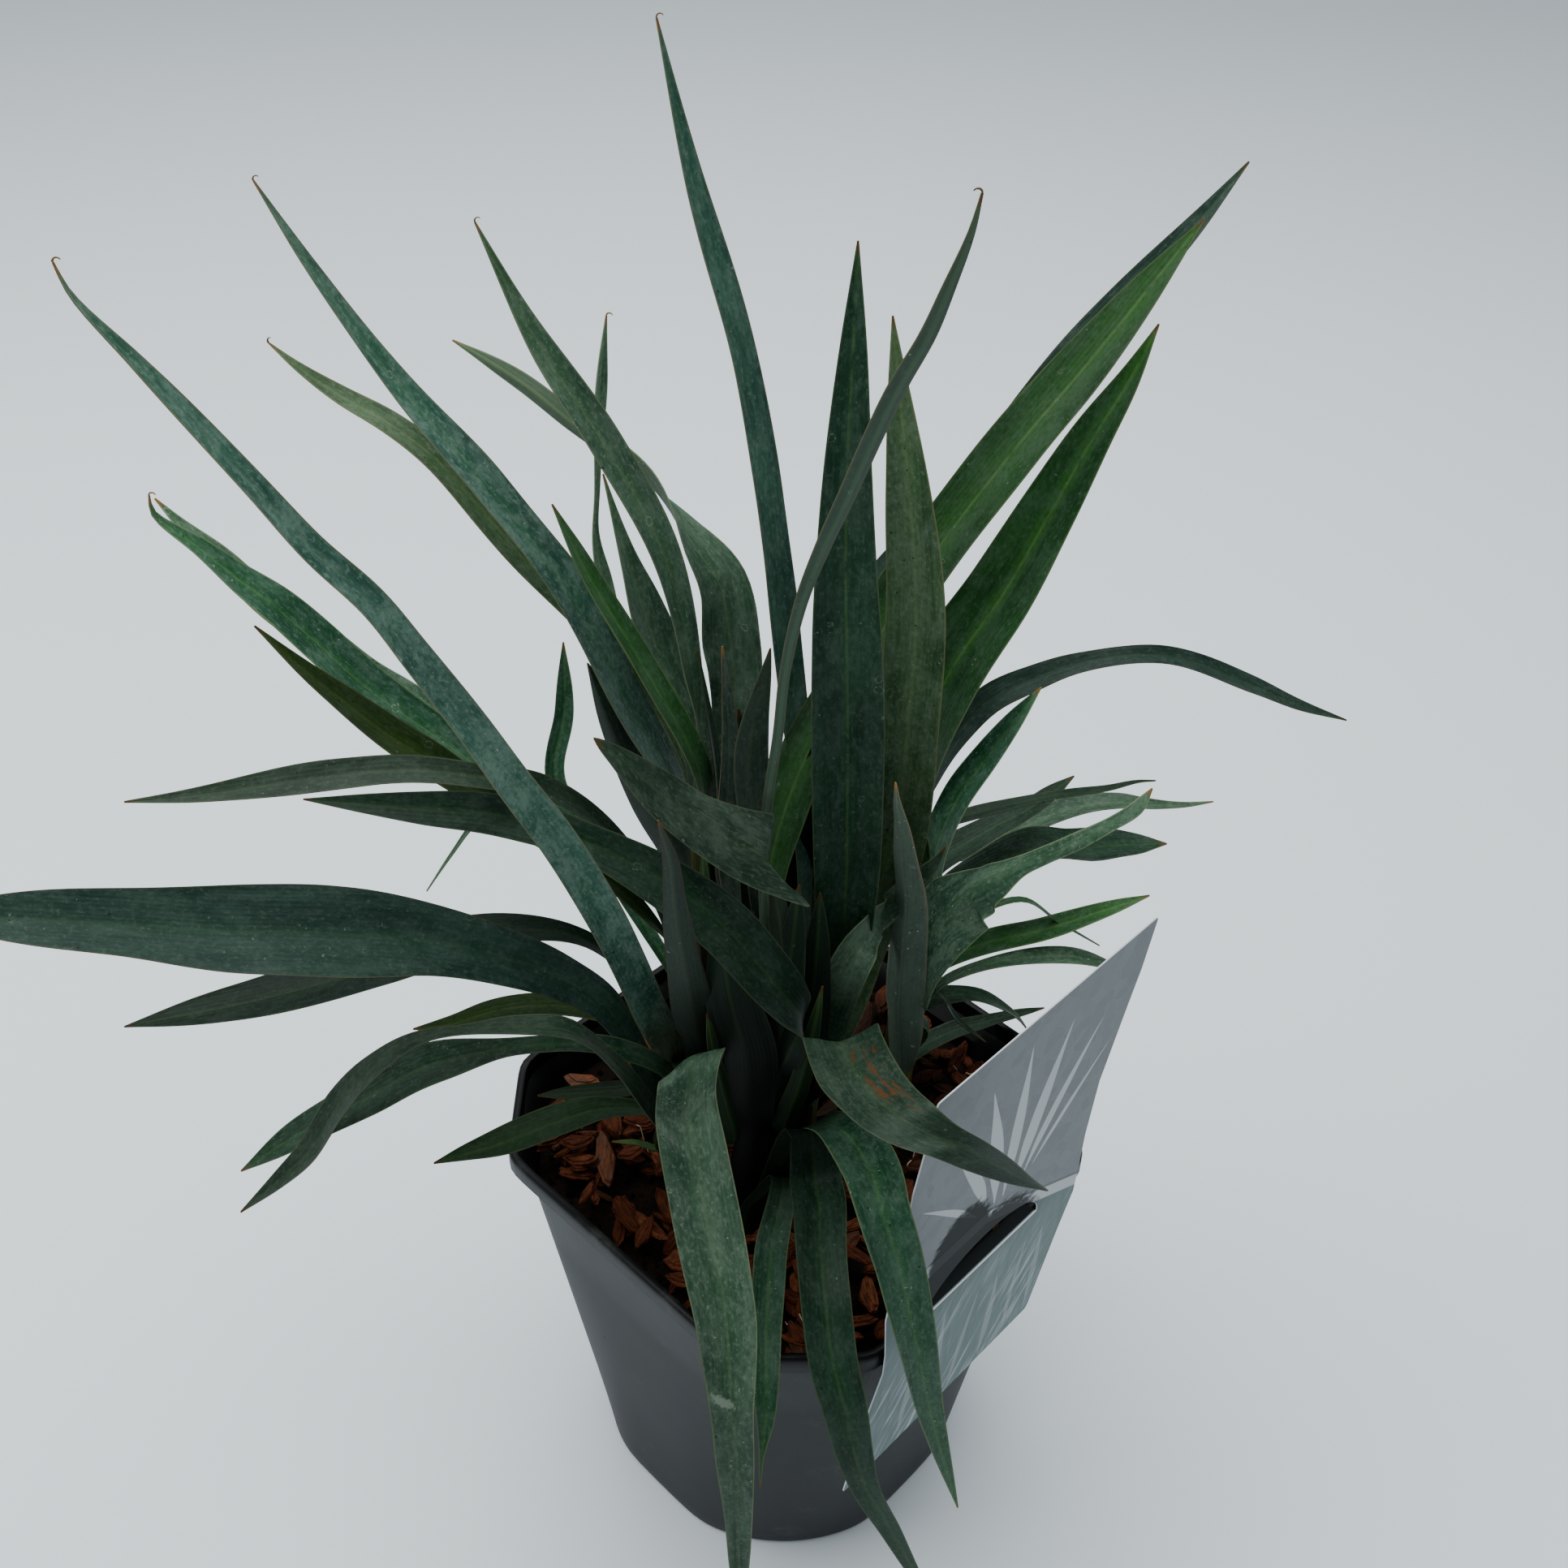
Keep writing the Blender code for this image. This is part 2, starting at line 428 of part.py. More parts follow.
def catmull_rom(p0, p1, p2, p3, t):
    """Point between p1 and p2 on a smooth curve whose knots are spaced by the root of the distance."""
    k0 = 0.0
    k1 = k0 + math.sqrt((p1 - p0).length)
    k2 = k1 + math.sqrt((p2 - p1).length)
    k3 = k2 + math.sqrt((p3 - p2).length)
    k = mix(k1, k2, t)
    a1 = p0.lerp(p1, (k - k0) / (k1 - k0))
    a2 = p1.lerp(p2, (k - k1) / (k2 - k1))
    a3 = p2.lerp(p3, (k - k2) / (k3 - k2))
    b1 = a1.lerp(a2, (k - k0) / (k2 - k0))
    b2 = a2.lerp(a3, (k - k1) / (k3 - k1))
    return b1.lerp(b2, (k - k1) / (k2 - k1))


def leaf_line(leaf):
    """Dense points along a leaf's middle, from its foot on the shoot to its tip."""
    shoot = SHOOTS[leaf["shoot"]]
    height, azimuth = leaf["foot"]
    centre = shoot_at(shoot, height)[0]
    reach = shoot_reach(shoot, height, azimuth) + GAP + 0.5 * MIDRIB_THICK
    turn = math.radians(azimuth)
    foot = centre + Vector((math.cos(turn), math.sin(turn), 0.0)) * reach
    knots = [foot] + [Vector(point) for point in leaf["route"]]
    start = knots[0] - Vector((0.0, 0.0, 0.7 * (knots[1] - knots[0]).length))
    knots = [start] + knots + [knots[-1] * 2.0 - knots[-2]]
    line = []
    for p0, p1, p2, p3 in zip(knots, knots[1:], knots[2:], knots[3:]):
        line += [catmull_rom(p0, p1, p2, p3, i / SPAN_SAMPLES) for i in range(SPAN_SAMPLES)]
    return line + [knots[-2]]


def even_points(line, steps):
    """Points and directions at equal distances along a dense line."""
    lengths = [0.0]
    for a, b in zip(line, line[1:]):
        lengths.append(lengths[-1] + (b - a).length)
    places = []
    span = 0
    for i in range(steps + 1):
        want = lengths[-1] * i / steps
        while span < len(line) - 2 and lengths[span + 1] < want:
            span += 1
        t = (want - lengths[span]) / (lengths[span + 1] - lengths[span])
        before = line[max(0, span - 1)]
        after = line[min(len(line) - 1, span + 2)]
        places.append((line[span].lerp(line[span + 1], t), (after - before).normalized()))
    return places


def leaf_width(leaf, s):
    widest = leaf.get("widest", 0.48)
    foot = min(FOOT_SHARE * leaf["wide"], FOOT_WIDTH)
    if s < widest:
        return mix(foot, leaf["wide"], 0.5 - 0.5 * math.cos(math.pi * s / widest))
    fall = ((s - widest) / (1.0 - widest)) ** TAPER
    return mix(leaf["wide"], TIP_WIDTH, fall)


def along(values, s):
    """Value at a share of the leaf's length, from evenly spaced values."""
    place = s * (len(values) - 1)
    i = min(int(place), len(values) - 2)
    return mix(values[i], values[i + 1], place - i)


def leaf_rings(leaf):
    """Flat V sections of the blade, each with two edges, a midrib above and a midrib below."""
    places = even_points(leaf_line(leaf), leaf.get("steps", LEAF_STEPS))
    roll = leaf.get("roll", (0, 0))
    azimuth = leaf["foot"][1]
    swing = (leaf["lean"] - azimuth + 180.0) % 360.0 - 180.0
    rings = []
    for i, (centre, ahead) in enumerate(places):
        s = i / (len(places) - 1)
        heading = math.radians(azimuth + swing * clamp01(s / 0.3))
        side = Vector((math.sin(heading), -math.cos(heading), 0.0))
        side = (side - ahead * side.dot(ahead)).normalized()
        turned = Quaternion(ahead, math.radians(along(roll, s)))
        side = turned @ side
        up = side.cross(ahead)
        half = 0.5 * leaf_width(leaf, s)
        keel = math.radians(leaf.get("keel", KEEL)) * clamp01(s / 0.25)
        reach = side * half * math.cos(keel)
        lift = up * half * math.sin(keel)
        rib = up * 0.5 * mix(MIDRIB_THICK, 0.5 * MIDRIB_THICK, s)
        edge = up * 0.5 * EDGE_THICK
        rings.append([centre - reach + lift + edge, centre + rib, centre + reach + lift + edge,
                      centre + reach + lift - edge, centre - rib, centre - reach + lift - edge])
    return rings


def make_leaf(leaf):
    add_object(leaf["name"], loft(leaf_rings(leaf)), finish(leaf["name"], leaf["colour"], 0.45))


# Label

# Outlines of the card, as height over the rim and distance along the pot's side
LABEL_LEFT = [(-62, -66), (-25, -57), (-10, -52), (0, -52), (20, -54), (45, -51.5), (75, -48.5), (88, -46), (108, -42.5)]
LABEL_RIGHT = [(-62, 31), (-25, 42), (-10, 47), (0, 47), (20, 46.5), (45, 48), (75, 55.5), (88, 59), (108, 62.3)]
TONGUE_CENTRE = -5.0
TONGUE_HALF = 29.0
TONGUE_HEIGHT = 16.0
# Middle line of the tongue as distance from the axis and height, from the card over the rim to its end
TONGUE_LINE = [(86.3, 170.9), (83.5, 170.9), (81.2, 170.3), (80.3, 167), (79.2, 163.5), (77.0, 157)]


def label_point(distance, height, sideways):
    turn = math.radians(LABEL_SIDE)
    out = Vector((math.cos(turn), math.sin(turn), 0.0))
    side = Vector((-out.y, out.x, 0.0))
    return out * distance + side * sideways + Vector((0.0, 0.0, height))


def card_point(over_rim, sideways, proud):
    return label_point(LABEL_OUT + proud, POT_HEIGHT + 1.2 + over_rim, sideways)


def make_label():
    half = 0.5 * LABEL_THICK
    rings = []
    for (over_rim, left), (same, right) in zip(LABEL_LEFT, LABEL_RIGHT):
        rings.append([card_point(over_rim, left, -half), card_point(over_rim, right, -half),
                      card_point(over_rim, right, half), card_point(over_rim, left, half)])
    label = add_object("plant_label", loft(rings), finish("plant_label", (0.36, 0.38, 0.38), 0.4), 60.0)
    cut_tongue_hole(label)
    add_tongue(label)


def tongue_half_width(share):
    """The tongue's half width at a share of its height, following the round cut."""
    return TONGUE_HALF * math.sqrt(max(0.0, 1.0 - share * share))


def cut_tongue_hole(label):
    steps = 12
    low = []
    high = []
    for i in range(steps + 1):
        turn = math.pi * i / steps
        sideways = TONGUE_CENTRE + TONGUE_HALF * math.cos(turn)
        over_rim = 0.25 + TONGUE_HEIGHT * math.sin(turn)
        low.append(card_point(over_rim, sideways, -4.0))
        high.append(card_point(over_rim, sideways, 4.0))
    cutter = add_object("tongue_cutter", loft([low, high]), label.data.materials[0])
    cutter.hide_render = True
    cutter.display_type = "WIRE"
    hole = label.modifiers.new("tongue_hole", "BOOLEAN")
    hole.operation = "DIFFERENCE"
    hole.solver = "EXACT"
    hole.object = cutter


def add_tongue(label):
    half = 0.5 * LABEL_THICK
    line = [Vector(point) for point in TONGUE_LINE]
    lengths = [0.0]
    for a, b in zip(line, line[1:]):
        lengths.append(lengths[-1] + (b - a).length)
    rings = []
    for i, point in enumerate(line):
        ahead = (line[min(i + 1, len(line) - 1)] - line[max(i - 1, 0)]).normalized()
        normal = Vector((-ahead.y, ahead.x)) * half
        width = tongue_half_width(0.97 * lengths[i] / lengths[-1])
        ring = []
        for across, side in ((-width, -1), (width, -1), (width, 1), (-width, 1)):
            distance, height = point + normal * side
            ring.append(label_point(distance, height, TONGUE_CENTRE + across))
        rings.append(ring)
    tongue = add_object("tongue_part", loft(rings), label.data.materials[0])
    tongue.hide_render = True
    tongue.display_type = "WIRE"
    join = label.modifiers.new("tongue", "BOOLEAN")
    join.operation = "UNION"
    join.solver = "EXACT"
    join.object = tongue


def main():
    clear_scene()
    make_pot()
    make_potting_mix()
    make_bark_mulch()
    for name, shoot in SHOOTS.items():
        make_shoot(name, shoot)
    for leaf in LEAVES:
        make_leaf(leaf)
    make_label()


main()
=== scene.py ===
import math
import random

import bmesh
import bpy
from mathutils import Matrix, Quaternion, Vector, noise


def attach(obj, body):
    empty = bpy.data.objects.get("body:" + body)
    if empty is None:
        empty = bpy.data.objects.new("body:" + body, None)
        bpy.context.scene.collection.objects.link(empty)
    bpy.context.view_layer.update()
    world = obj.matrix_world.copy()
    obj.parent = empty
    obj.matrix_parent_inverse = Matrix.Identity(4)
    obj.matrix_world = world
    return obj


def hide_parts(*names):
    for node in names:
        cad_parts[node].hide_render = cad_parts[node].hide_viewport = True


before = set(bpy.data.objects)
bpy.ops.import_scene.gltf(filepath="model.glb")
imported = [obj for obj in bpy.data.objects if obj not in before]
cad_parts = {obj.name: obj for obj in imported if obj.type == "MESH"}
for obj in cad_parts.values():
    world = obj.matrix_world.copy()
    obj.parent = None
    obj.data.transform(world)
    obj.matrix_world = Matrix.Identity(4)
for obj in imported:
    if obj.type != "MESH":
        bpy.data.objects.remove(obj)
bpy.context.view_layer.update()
print("frame loaded with", len(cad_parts), "nodes")

mm = 0.001


def mix(a, b, t):
    return a + (b - a) * t


def clamp01(t):
    return min(1.0, max(0.0, t))


def smooth(low, high, value):
    t = clamp01((value - low) / (high - low))
    return t * t * (3.0 - 2.0 * t)


def around(azimuth, radius=1.0, z=0.0):
    # the point at an azimuth, a distance from the axis and a height
    turn = math.radians(azimuth)
    return Vector((radius * math.cos(turn), radius * math.sin(turn), z))


# Shader tools

class Wire:
    # a socket that can be used in plain sums
    def __init__(self, finish, socket):
        self.finish = finish
        self.socket = socket

    def maths(self, operation, first, second=None):
        sockets = {0: first} if second is None else {0: first, 1: second}
        return self.finish.node("ShaderNodeMath", {"operation": operation}, sockets)

    def __add__(self, other):
        return self.maths("ADD", self, other)

    def __radd__(self, other):
        return self.maths("ADD", other, self)

    def __sub__(self, other):
        return self.maths("SUBTRACT", self, other)

    def __rsub__(self, other):
        return self.maths("SUBTRACT", other, self)

    def __mul__(self, other):
        return self.maths("MULTIPLY", self, other)

    def __rmul__(self, other):
        return self.maths("MULTIPLY", other, self)

    def __truediv__(self, other):
        return self.maths("DIVIDE", self, other)

    def __gt__(self, other):
        return self.maths("GREATER_THAN", self, other)

    def __lt__(self, other):
        return self.maths("LESS_THAN", self, other)

    def __pow__(self, other):
        return self.maths("POWER", self, other)

    def __abs__(self):
        return self.maths("ABSOLUTE", self)

    def orMore(self, other):
        return self.maths("MAXIMUM", self, other)


class Finish:
    # one procedural material and the few kinds of pattern that its colours are made of
    def __init__(self, name, **fixed):
        self.material = bpy.data.materials.new(name)
        self.material.use_nodes = True
        self.tree = self.material.node_tree
        self.shader = self.tree.nodes["Principled BSDF"]
        self.set(**fixed)

    def node(self, kind, settings=None, sockets=None, output=0):
        made = self.tree.nodes.new(kind)
        for key, value in (settings or {}).items():
            setattr(made, key, value)
        for key, value in (sockets or {}).items():
            self.connect(made.inputs[key], value)
        return Wire(self, made.outputs[output])

    def connect(self, socket, value):
        if isinstance(value, Wire):
            self.tree.links.new(value.socket, socket)
        elif socket.type == "RGBA":
            socket.default_value = (*value[:3], 1.0)
        else:
            socket.default_value = value

    def set(self, **values):
        for key, value in values.items():
            self.connect(self.shader.inputs[key.replace("_", " ")], value)

    def field(self, name):
        return self.node("ShaderNodeAttribute", {"attribute_name": name}, output="Fac")

    def where(self):
        # the place in millimetres
        place = self.node("ShaderNodeTexCoord", output="Object")
        return self.node("ShaderNodeVectorMath", {"operation": "SCALE"}, {0: place, "Scale": 1.0 / mm})

    def place(self, x, y, z):
        return self.node("ShaderNodeCombineXYZ", {}, {0: x, 1: y, 2: z})

    def parts(self, vector, output):
        return self.node("ShaderNodeSeparateXYZ", {}, {0: vector}, output)

    def along(self, vector, direction):
        settings = {"operation": "DOT_PRODUCT"}
        return self.node("ShaderNodeVectorMath", settings, {0: vector, 1: direction}, "Value")

    def stretched(self, vector, by):
        return self.node("ShaderNodeVectorMath", {"operation": "MULTIPLY"}, {0: vector, 1: by})

    def blend(self, share, first, second):
        return self.node("ShaderNodeMix", {"data_type": "RGBA"}, {0: share, 6: first, 7: second}, 2)

    def cloud(self, vector, size, detail=2.0, rough=0.5, bend=0.0):
        sockets = {"Vector": vector, "Scale": 1.0 / size, "Detail": detail, "Roughness": rough}
        return self.node("ShaderNodeTexNoise", {}, {**sockets, "Distortion": bend})

    def warped(self, vector, size, by):
        # the place moved a little to and fro, so that patterns lose their regular form
        sockets = {"Vector": vector, "Scale": 1.0 / size, "Detail": 1.0}
        colour = self.node("ShaderNodeTexNoise", {}, sockets, "Color")
        moved = self.node("ShaderNodeVectorMath", {"operation": "SUBTRACT"}, {0: colour, 1: (0.5, 0.5, 0.5)})
        moved = self.stretched(moved, (by, by, by))
        return self.node("ShaderNodeVectorMath", {"operation": "ADD"}, {0: vector, 1: moved})

    def rise(self, value, low, high):
        # 0 at low, 1 at high, smooth between
        settings = {"interpolation_type": "SMOOTHSTEP"}
        return self.node("ShaderNodeMapRange", settings, {0: value, 1: low, 2: high, 3: 0.0, 4: 1.0})

    def dots(self, vector, spacing, share, radius, soft=0.35, hollow=0.0):
        # round marks in a share of the cells, each with a size of its own, or rings where hollow is above 0
        sockets = {"Vector": vector, "Scale": 1.0 / spacing}
        distance = self.node("ShaderNodeTexVoronoi", {}, sockets)
        colour = self.node("ShaderNodeTexVoronoi", {}, sockets, "Color")
        luck = self.parts(colour, 0)
        size = self.parts(colour, 1)
        reach = radius / spacing * (0.35 + 0.65 * size)
        away = distance / reach
        mark = self.rise(away, 1.0, 1.0 - soft) * (luck > 1.0 - share)
        if hollow > 0.0:
            mark = mark * self.rise(away, hollow, min(0.98, hollow + 0.25))
        return mark

    def nearness(self, middle, far, near):
        # 0 beyond far from an upright line and 1 within near of it
        where = self.where()
        x = self.parts(where, 0) - middle[0]
        y = self.parts(where, 1) - middle[1]
        return self.rise((x * x + y * y) ** 0.5, far, near)

    def bumps(self, height, distance, strength=1.0):
        sockets = {"Strength": strength, "Distance": distance * mm, "Height": height}
        return self.node("ShaderNodeBump", {}, sockets, "Normal")


# Meshes and pieces

def newMesh(name, points, faces, fields=None, sharp=None):
    mesh = bpy.data.meshes.new(name)
    mesh.from_pydata([Vector(point) * mm for point in points], [], faces)
    work = bmesh.new()
    work.from_mesh(mesh)
    bmesh.ops.recalc_face_normals(work, faces=work.faces)
    work.to_mesh(mesh)
    work.free()
    for key, values in (fields or {}).items():
        layer = mesh.attributes.new(key, "FLOAT", "POINT")
        layer.data.foreach_set("value", values)
    mesh.shade_smooth()
    if sharp is not None:
        mesh.set_sharp_from_angle(angle=math.radians(sharp))
    return mesh


def addObject(name, data):
    made = bpy.data.objects.new(name, data)
    bpy.context.scene.collection.objects.link(made)
    return made


def addPiece(name, mesh, material, slot, *standsFor):
    piece = addObject(name, mesh)
    mesh.materials.append(material)
    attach(piece, "root")
    if standsFor:
        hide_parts(*standsFor)
    return piece


def loftFaces(rings, count, base=0):
    # the faces between rings that follow each other, counted from the point numbered base
    faces = []
    for r in range(rings - 1):
        for i in range(count):
            j = (i + 1) % count
            faces.append((r * count + i, r * count + j, (r + 1) * count + j, (r + 1) * count + i))
    faces.append(tuple(reversed(range(count))))
    faces.append(tuple(range((rings - 1) * count, rings * count)))
    return [tuple(base + i for i in face) for face in faces]


def catmullRom(p0, p1, p2, p3, t):
    k0 = 0.0
    k1 = k0 + max(0.1, math.sqrt((p1 - p0).length))
    k2 = k1 + max(0.1, math.sqrt((p2 - p1).length))
    k3 = k2 + max(0.1, math.sqrt((p3 - p2).length))
    k = mix(k1, k2, t)
    a1 = p0.lerp(p1, (k - k0) / (k1 - k0))
    a2 = p1.lerp(p2, (k - k1) / (k2 - k1))
    a3 = p2.lerp(p3, (k - k2) / (k3 - k2))
    b1 = a1.lerp(a2, (k - k0) / (k2 - k0))
    b2 = a2.lerp(a3, (k - k1) / (k3 - k1))
    return b1.lerp(b2, (k - k1) / (k2 - k1))


def splinePoints(knots, samples, start=None):
    # a smooth line through the knots, with a number of samples to each span
    first = knots[0] * 2.0 - knots[1] if start is None else start
    ends = [first] + knots + [knots[-1] * 2.0 - knots[-2]]
    line = []
    for p0, p1, p2, p3 in zip(ends, ends[1:], ends[2:], ends[3:]):
        line += [catmullRom(p0, p1, p2, p3, i / samples) for i in range(samples)]
    return line + [knots[-1]]


def lengthsAlong(line):
    lengths = [0.0]
    for a, b in zip(line, line[1:]):
        lengths.append(lengths[-1] + (b - a).length)
    return lengths


# Pot

pot = {
    "height": 170.0,
    "lipFlats": 85.0,
    "lipCorner": 98.4,
    "lipDepth": 8.0,
    "lipStep": 5.5,
    "baseFlats": 67.0,
    "baseRadius": 69.7,
    "wall": 1.6,
    "lipWall": 3.0,
    "floor": 3.0,
    "cornerSharpness": 60.0,
    "sharpTurn": 38.0,
    "sides": 200,
    "drainHoles": 8,
    "drainRadius": 5.0,
    "drainRing": 48.0,
    "drainSides": 24,
    # sizes of the plastic's grain, its cloudy patches and flow lines, and of the dusty film on it
    "grain": 0.6,
    "patch": 50.0,
    "flow": 4.0,
    "film": 22.0,
    # spacing, share and size of pale specks, of splashes of soil and of scuffs
    "specks": (6.0, 0.16, 0.7),
    "splashes": (11.0, 0.2, 1.1),
    "scuffs": (20.0, 0.12, 1.1),
    "splashTop": 70.0,
    "plastic": (0.0125, 0.0140, 0.0155),
    # painted shade: the lip and the inside of the pot take this darker colour, though their plastic is the
    # wall's
    "shadedRimPlastic": (0.0030, 0.0033, 0.0038),
    "dust": (0.16, 0.16, 0.155),
    "soil": (0.008, 0.006, 0.005),
}


def potRadius(azimuth, flats, corner, roundness):
    offFlat = azimuth % 90.0 - 45.0
    flat = flats / math.cos(math.radians(offFlat))
    cut = corner / math.cos(math.radians(45.0 - abs(offFlat)))
    reach = mix(cut, corner, roundness)
    sharp = pot["cornerSharpness"]
    return flats * ((flats / flat) ** sharp + (flats / reach) ** sharp) ** (-1.0 / sharp)


def baseReach(azimuth, z, inset):
    return potRadius(azimuth, pot["baseFlats"] - inset, pot["baseRadius"] - inset, 1.0)


def wallReach(azimuth, z, inset):
    # distance from the axis to the tapering wall, moved in from its outer face
    highZ = pot["height"] - pot["lipDepth"] - 2.0
    t = (z - pot["floor"]) / (highZ - pot["floor"])
    low = potRadius(azimuth, pot["baseFlats"], pot["baseRadius"], 1.0)
    high = potRadius(azimuth, pot["lipFlats"] - pot["lipStep"], pot["lipCorner"] - pot["lipStep"], 0.0)
    return mix(low, high, t) - inset


def lipReach(azimuth, z, inset):
    return potRadius(azimuth, pot["lipFlats"] - inset, pot["lipCorner"] - inset, 0.0)


def potFinish():
    finish = Finish("pot_plastic", IOR=1.35, Specular_IOR_Level=0.25)
    where = finish.where()
    height = finish.parts(where, 2)
    grain = finish.cloud(where, pot["grain"], 2.0, 0.6)
    patches = finish.cloud(where, pot["patch"], 3.0, 0.55)
    flow = finish.cloud(finish.stretched(where, (1.0, 1.0, 0.12)), pot["flow"], 3.0, 0.6)
    # painted shade: the lip, and the inside marked inner, are darker than the wall
    lip = finish.rise(height, pot["height"] - pot["lipDepth"] - 1.5, pot["height"] - pot["lipDepth"])
    lip = lip.orMore(finish.field("inner"))
    plastic = finish.blend(lip, pot["plastic"], pot["shadedRimPlastic"])
    lighter = tuple(1.45 * c for c in pot["plastic"])
    colour = finish.blend(patches * flow * 1.2, plastic, finish.blend(lip, lighter, pot["shadedRimPlastic"]))
    film = finish.rise(finish.cloud(where, pot["film"], 4.0, 0.7), 0.56, 0.8) * 0.22
    specks = finish.dots(where, *pot["specks"], 0.5)
    foot = finish.rise(height, pot["splashTop"], 0.0)
    dirt = finish.dots(where, *pot["splashes"], 0.4) * (0.35 + 0.65 * foot)
    scuffs = finish.dots(finish.stretched(where, (1.0, 1.0, 0.25)), *pot["scuffs"], 0.6) * 0.35
    colour = finish.blend(film + specks * 0.5 + scuffs, colour, pot["dust"])
    colour = finish.blend(dirt, colour, pot["soil"])
    rough = 0.42 + 0.1 * patches + 0.22 * film + 0.3 * dirt + 0.05 * grain - 0.06 * lip
    relief = grain + 0.5 * flow + 2.0 * dirt
    finish.set(Base_Color=colour, Roughness=rough, Normal=finish.bumps(relief, 0.06, 0.7))
    return finish.material


def makePot():
    high = pot["height"]
    under = high - pot["lipDepth"]
    wall = pot["wall"]
    edge = pot["lipWall"]
    # height of each ring, and how far it lies in from its surface
    foot = [(0.0, 2.8), (0.3, 1.6), (1.2, 0.6)]
    outside = [(z, 0.0) for z in (pot["floor"], 10.0, 45.0, 80.0, 120.0)]
    bead = [(under - 7.2, 0.0), (under - 6.6, -0.5), (under - 5.2, -0.5), (under - 4.6, 0.0)]
    step = [(under - 2.0, 0.0), (under - 0.7, -1.6)]
    lip = [(under, 1.2), (under + 0.3, 0.4), (under + 1.0, 0.0), (high - 2.2, 0.1), (high - 0.9, 0.15),
           (high - 0.25, 0.6), (high, 1.2), (high, edge - 1.0), (high - 0.3, edge - 0.3), (high - 1.0, edge),
           (under + 1.0, edge)]
    inside = [(z, wall) for z in (under - 3.5, 120.0, 80.0, 30.0, pot["floor"])]
    points = []
    inner = []
    # the lip and the inside of the wall are marked inner, to take the darker plastic of painted shade
    surfaces = ((baseReach, foot, 0.0), (wallReach, outside + bead + step, 0.0), (lipReach, lip, 1.0),
                (wallReach, inside, 1.0))
    for reach, course, dark in surfaces:
        for z, inset in course:
            for i in range(pot["sides"]):
                azimuth = 360.0 * i / pot["sides"]
                points.append(around(azimuth, reach(azimuth, z, inset), z))
                inner.append(dark)
    faces = loftFaces(len(points) // pot["sides"], pot["sides"])
    mesh = newMesh("nursery_pot", points, faces, {"inner": inner}, pot["sharpTurn"])
    cutDrains(addPiece("nursery_pot", mesh, potFinish(), "pot_plastic", "pot"))


def cutDrains(made):
    points = []
    faces = []
    count = pot["drainSides"]
    for hole in range(pot["drainHoles"]):
        middle = around(360.0 * (hole + 0.5) / pot["drainHoles"], pot["drainRing"])
        faces += loftFaces(2, count, base=len(points))
        for z in (-4.0, 8.0):
            points += [middle + around(360.0 * i / count, pot["drainRadius"], z) for i in range(count)]
    cutter = addObject("drain_cutter", newMesh("drain_cutter", points, faces))
    holes = made.modifiers.new("drain_holes", "BOOLEAN")
    holes.operation = "DIFFERENCE"
    holes.solver = "EXACT"
    holes.object = cutter
    graph = bpy.context.evaluated_depsgraph_get()
    made.data = bpy.data.meshes.new_from_object(made.evaluated_get(graph))
    made.modifiers.clear()
    bpy.data.objects.remove(cutter)
    made.data.set_sharp_from_angle(angle=math.radians(pot["sharpTurn"]))


makePot()
print("pot made")


# Shoots: where the fans of leaves stand

shoots = {
    "main": {"foot": (-16, -30), "top": (-12, -24, 300), "wide": (10, 3.6), "thick": (7, 2.8), "turn": 60},
    "centre": {"foot": (-2, -11), "top": (4, -9, 262), "wide": (7.5, 3.2), "thick": (6, 2.8), "turn": 40},
    "left": {"foot": (-36, -10), "top": (-42, -12, 226), "wide": (9, 3.5), "thick": (6.5, 3), "turn": 95},
    "back": {"foot": (-24, 10), "top": (-34, 14, 300), "wide": (9, 3.4), "thick": (6.5, 2.8), "turn": 75},
    "right": {"foot": (36, 23), "top": (40, 26, 224), "wide": (8, 3), "thick": (5.6, 2.5), "turn": 100},
}
shootFoot = 152.4


def shootAt(shoot, z):
    t = (z - shootFoot) / (shoot["top"][2] - shootFoot)
    centre = Vector((mix(shoot["foot"][0], shoot["top"][0], t), mix(shoot["foot"][1], shoot["top"][1], t), z))
    return centre, mix(*shoot["wide"], t), mix(*shoot["thick"], t)


def shootReach(shoot, z, azimuth):
    wide, thick = shootAt(shoot, z)[1:]
    turn = math.radians(azimuth - shoot["turn"])
    return wide * thick / math.hypot(thick * math.cos(turn), wide * math.sin(turn))


def nearestShoot(x, y):
    return min(math.hypot(x - s["foot"][0], y - s["foot"][1]) for s in shoots.values())


# Filling

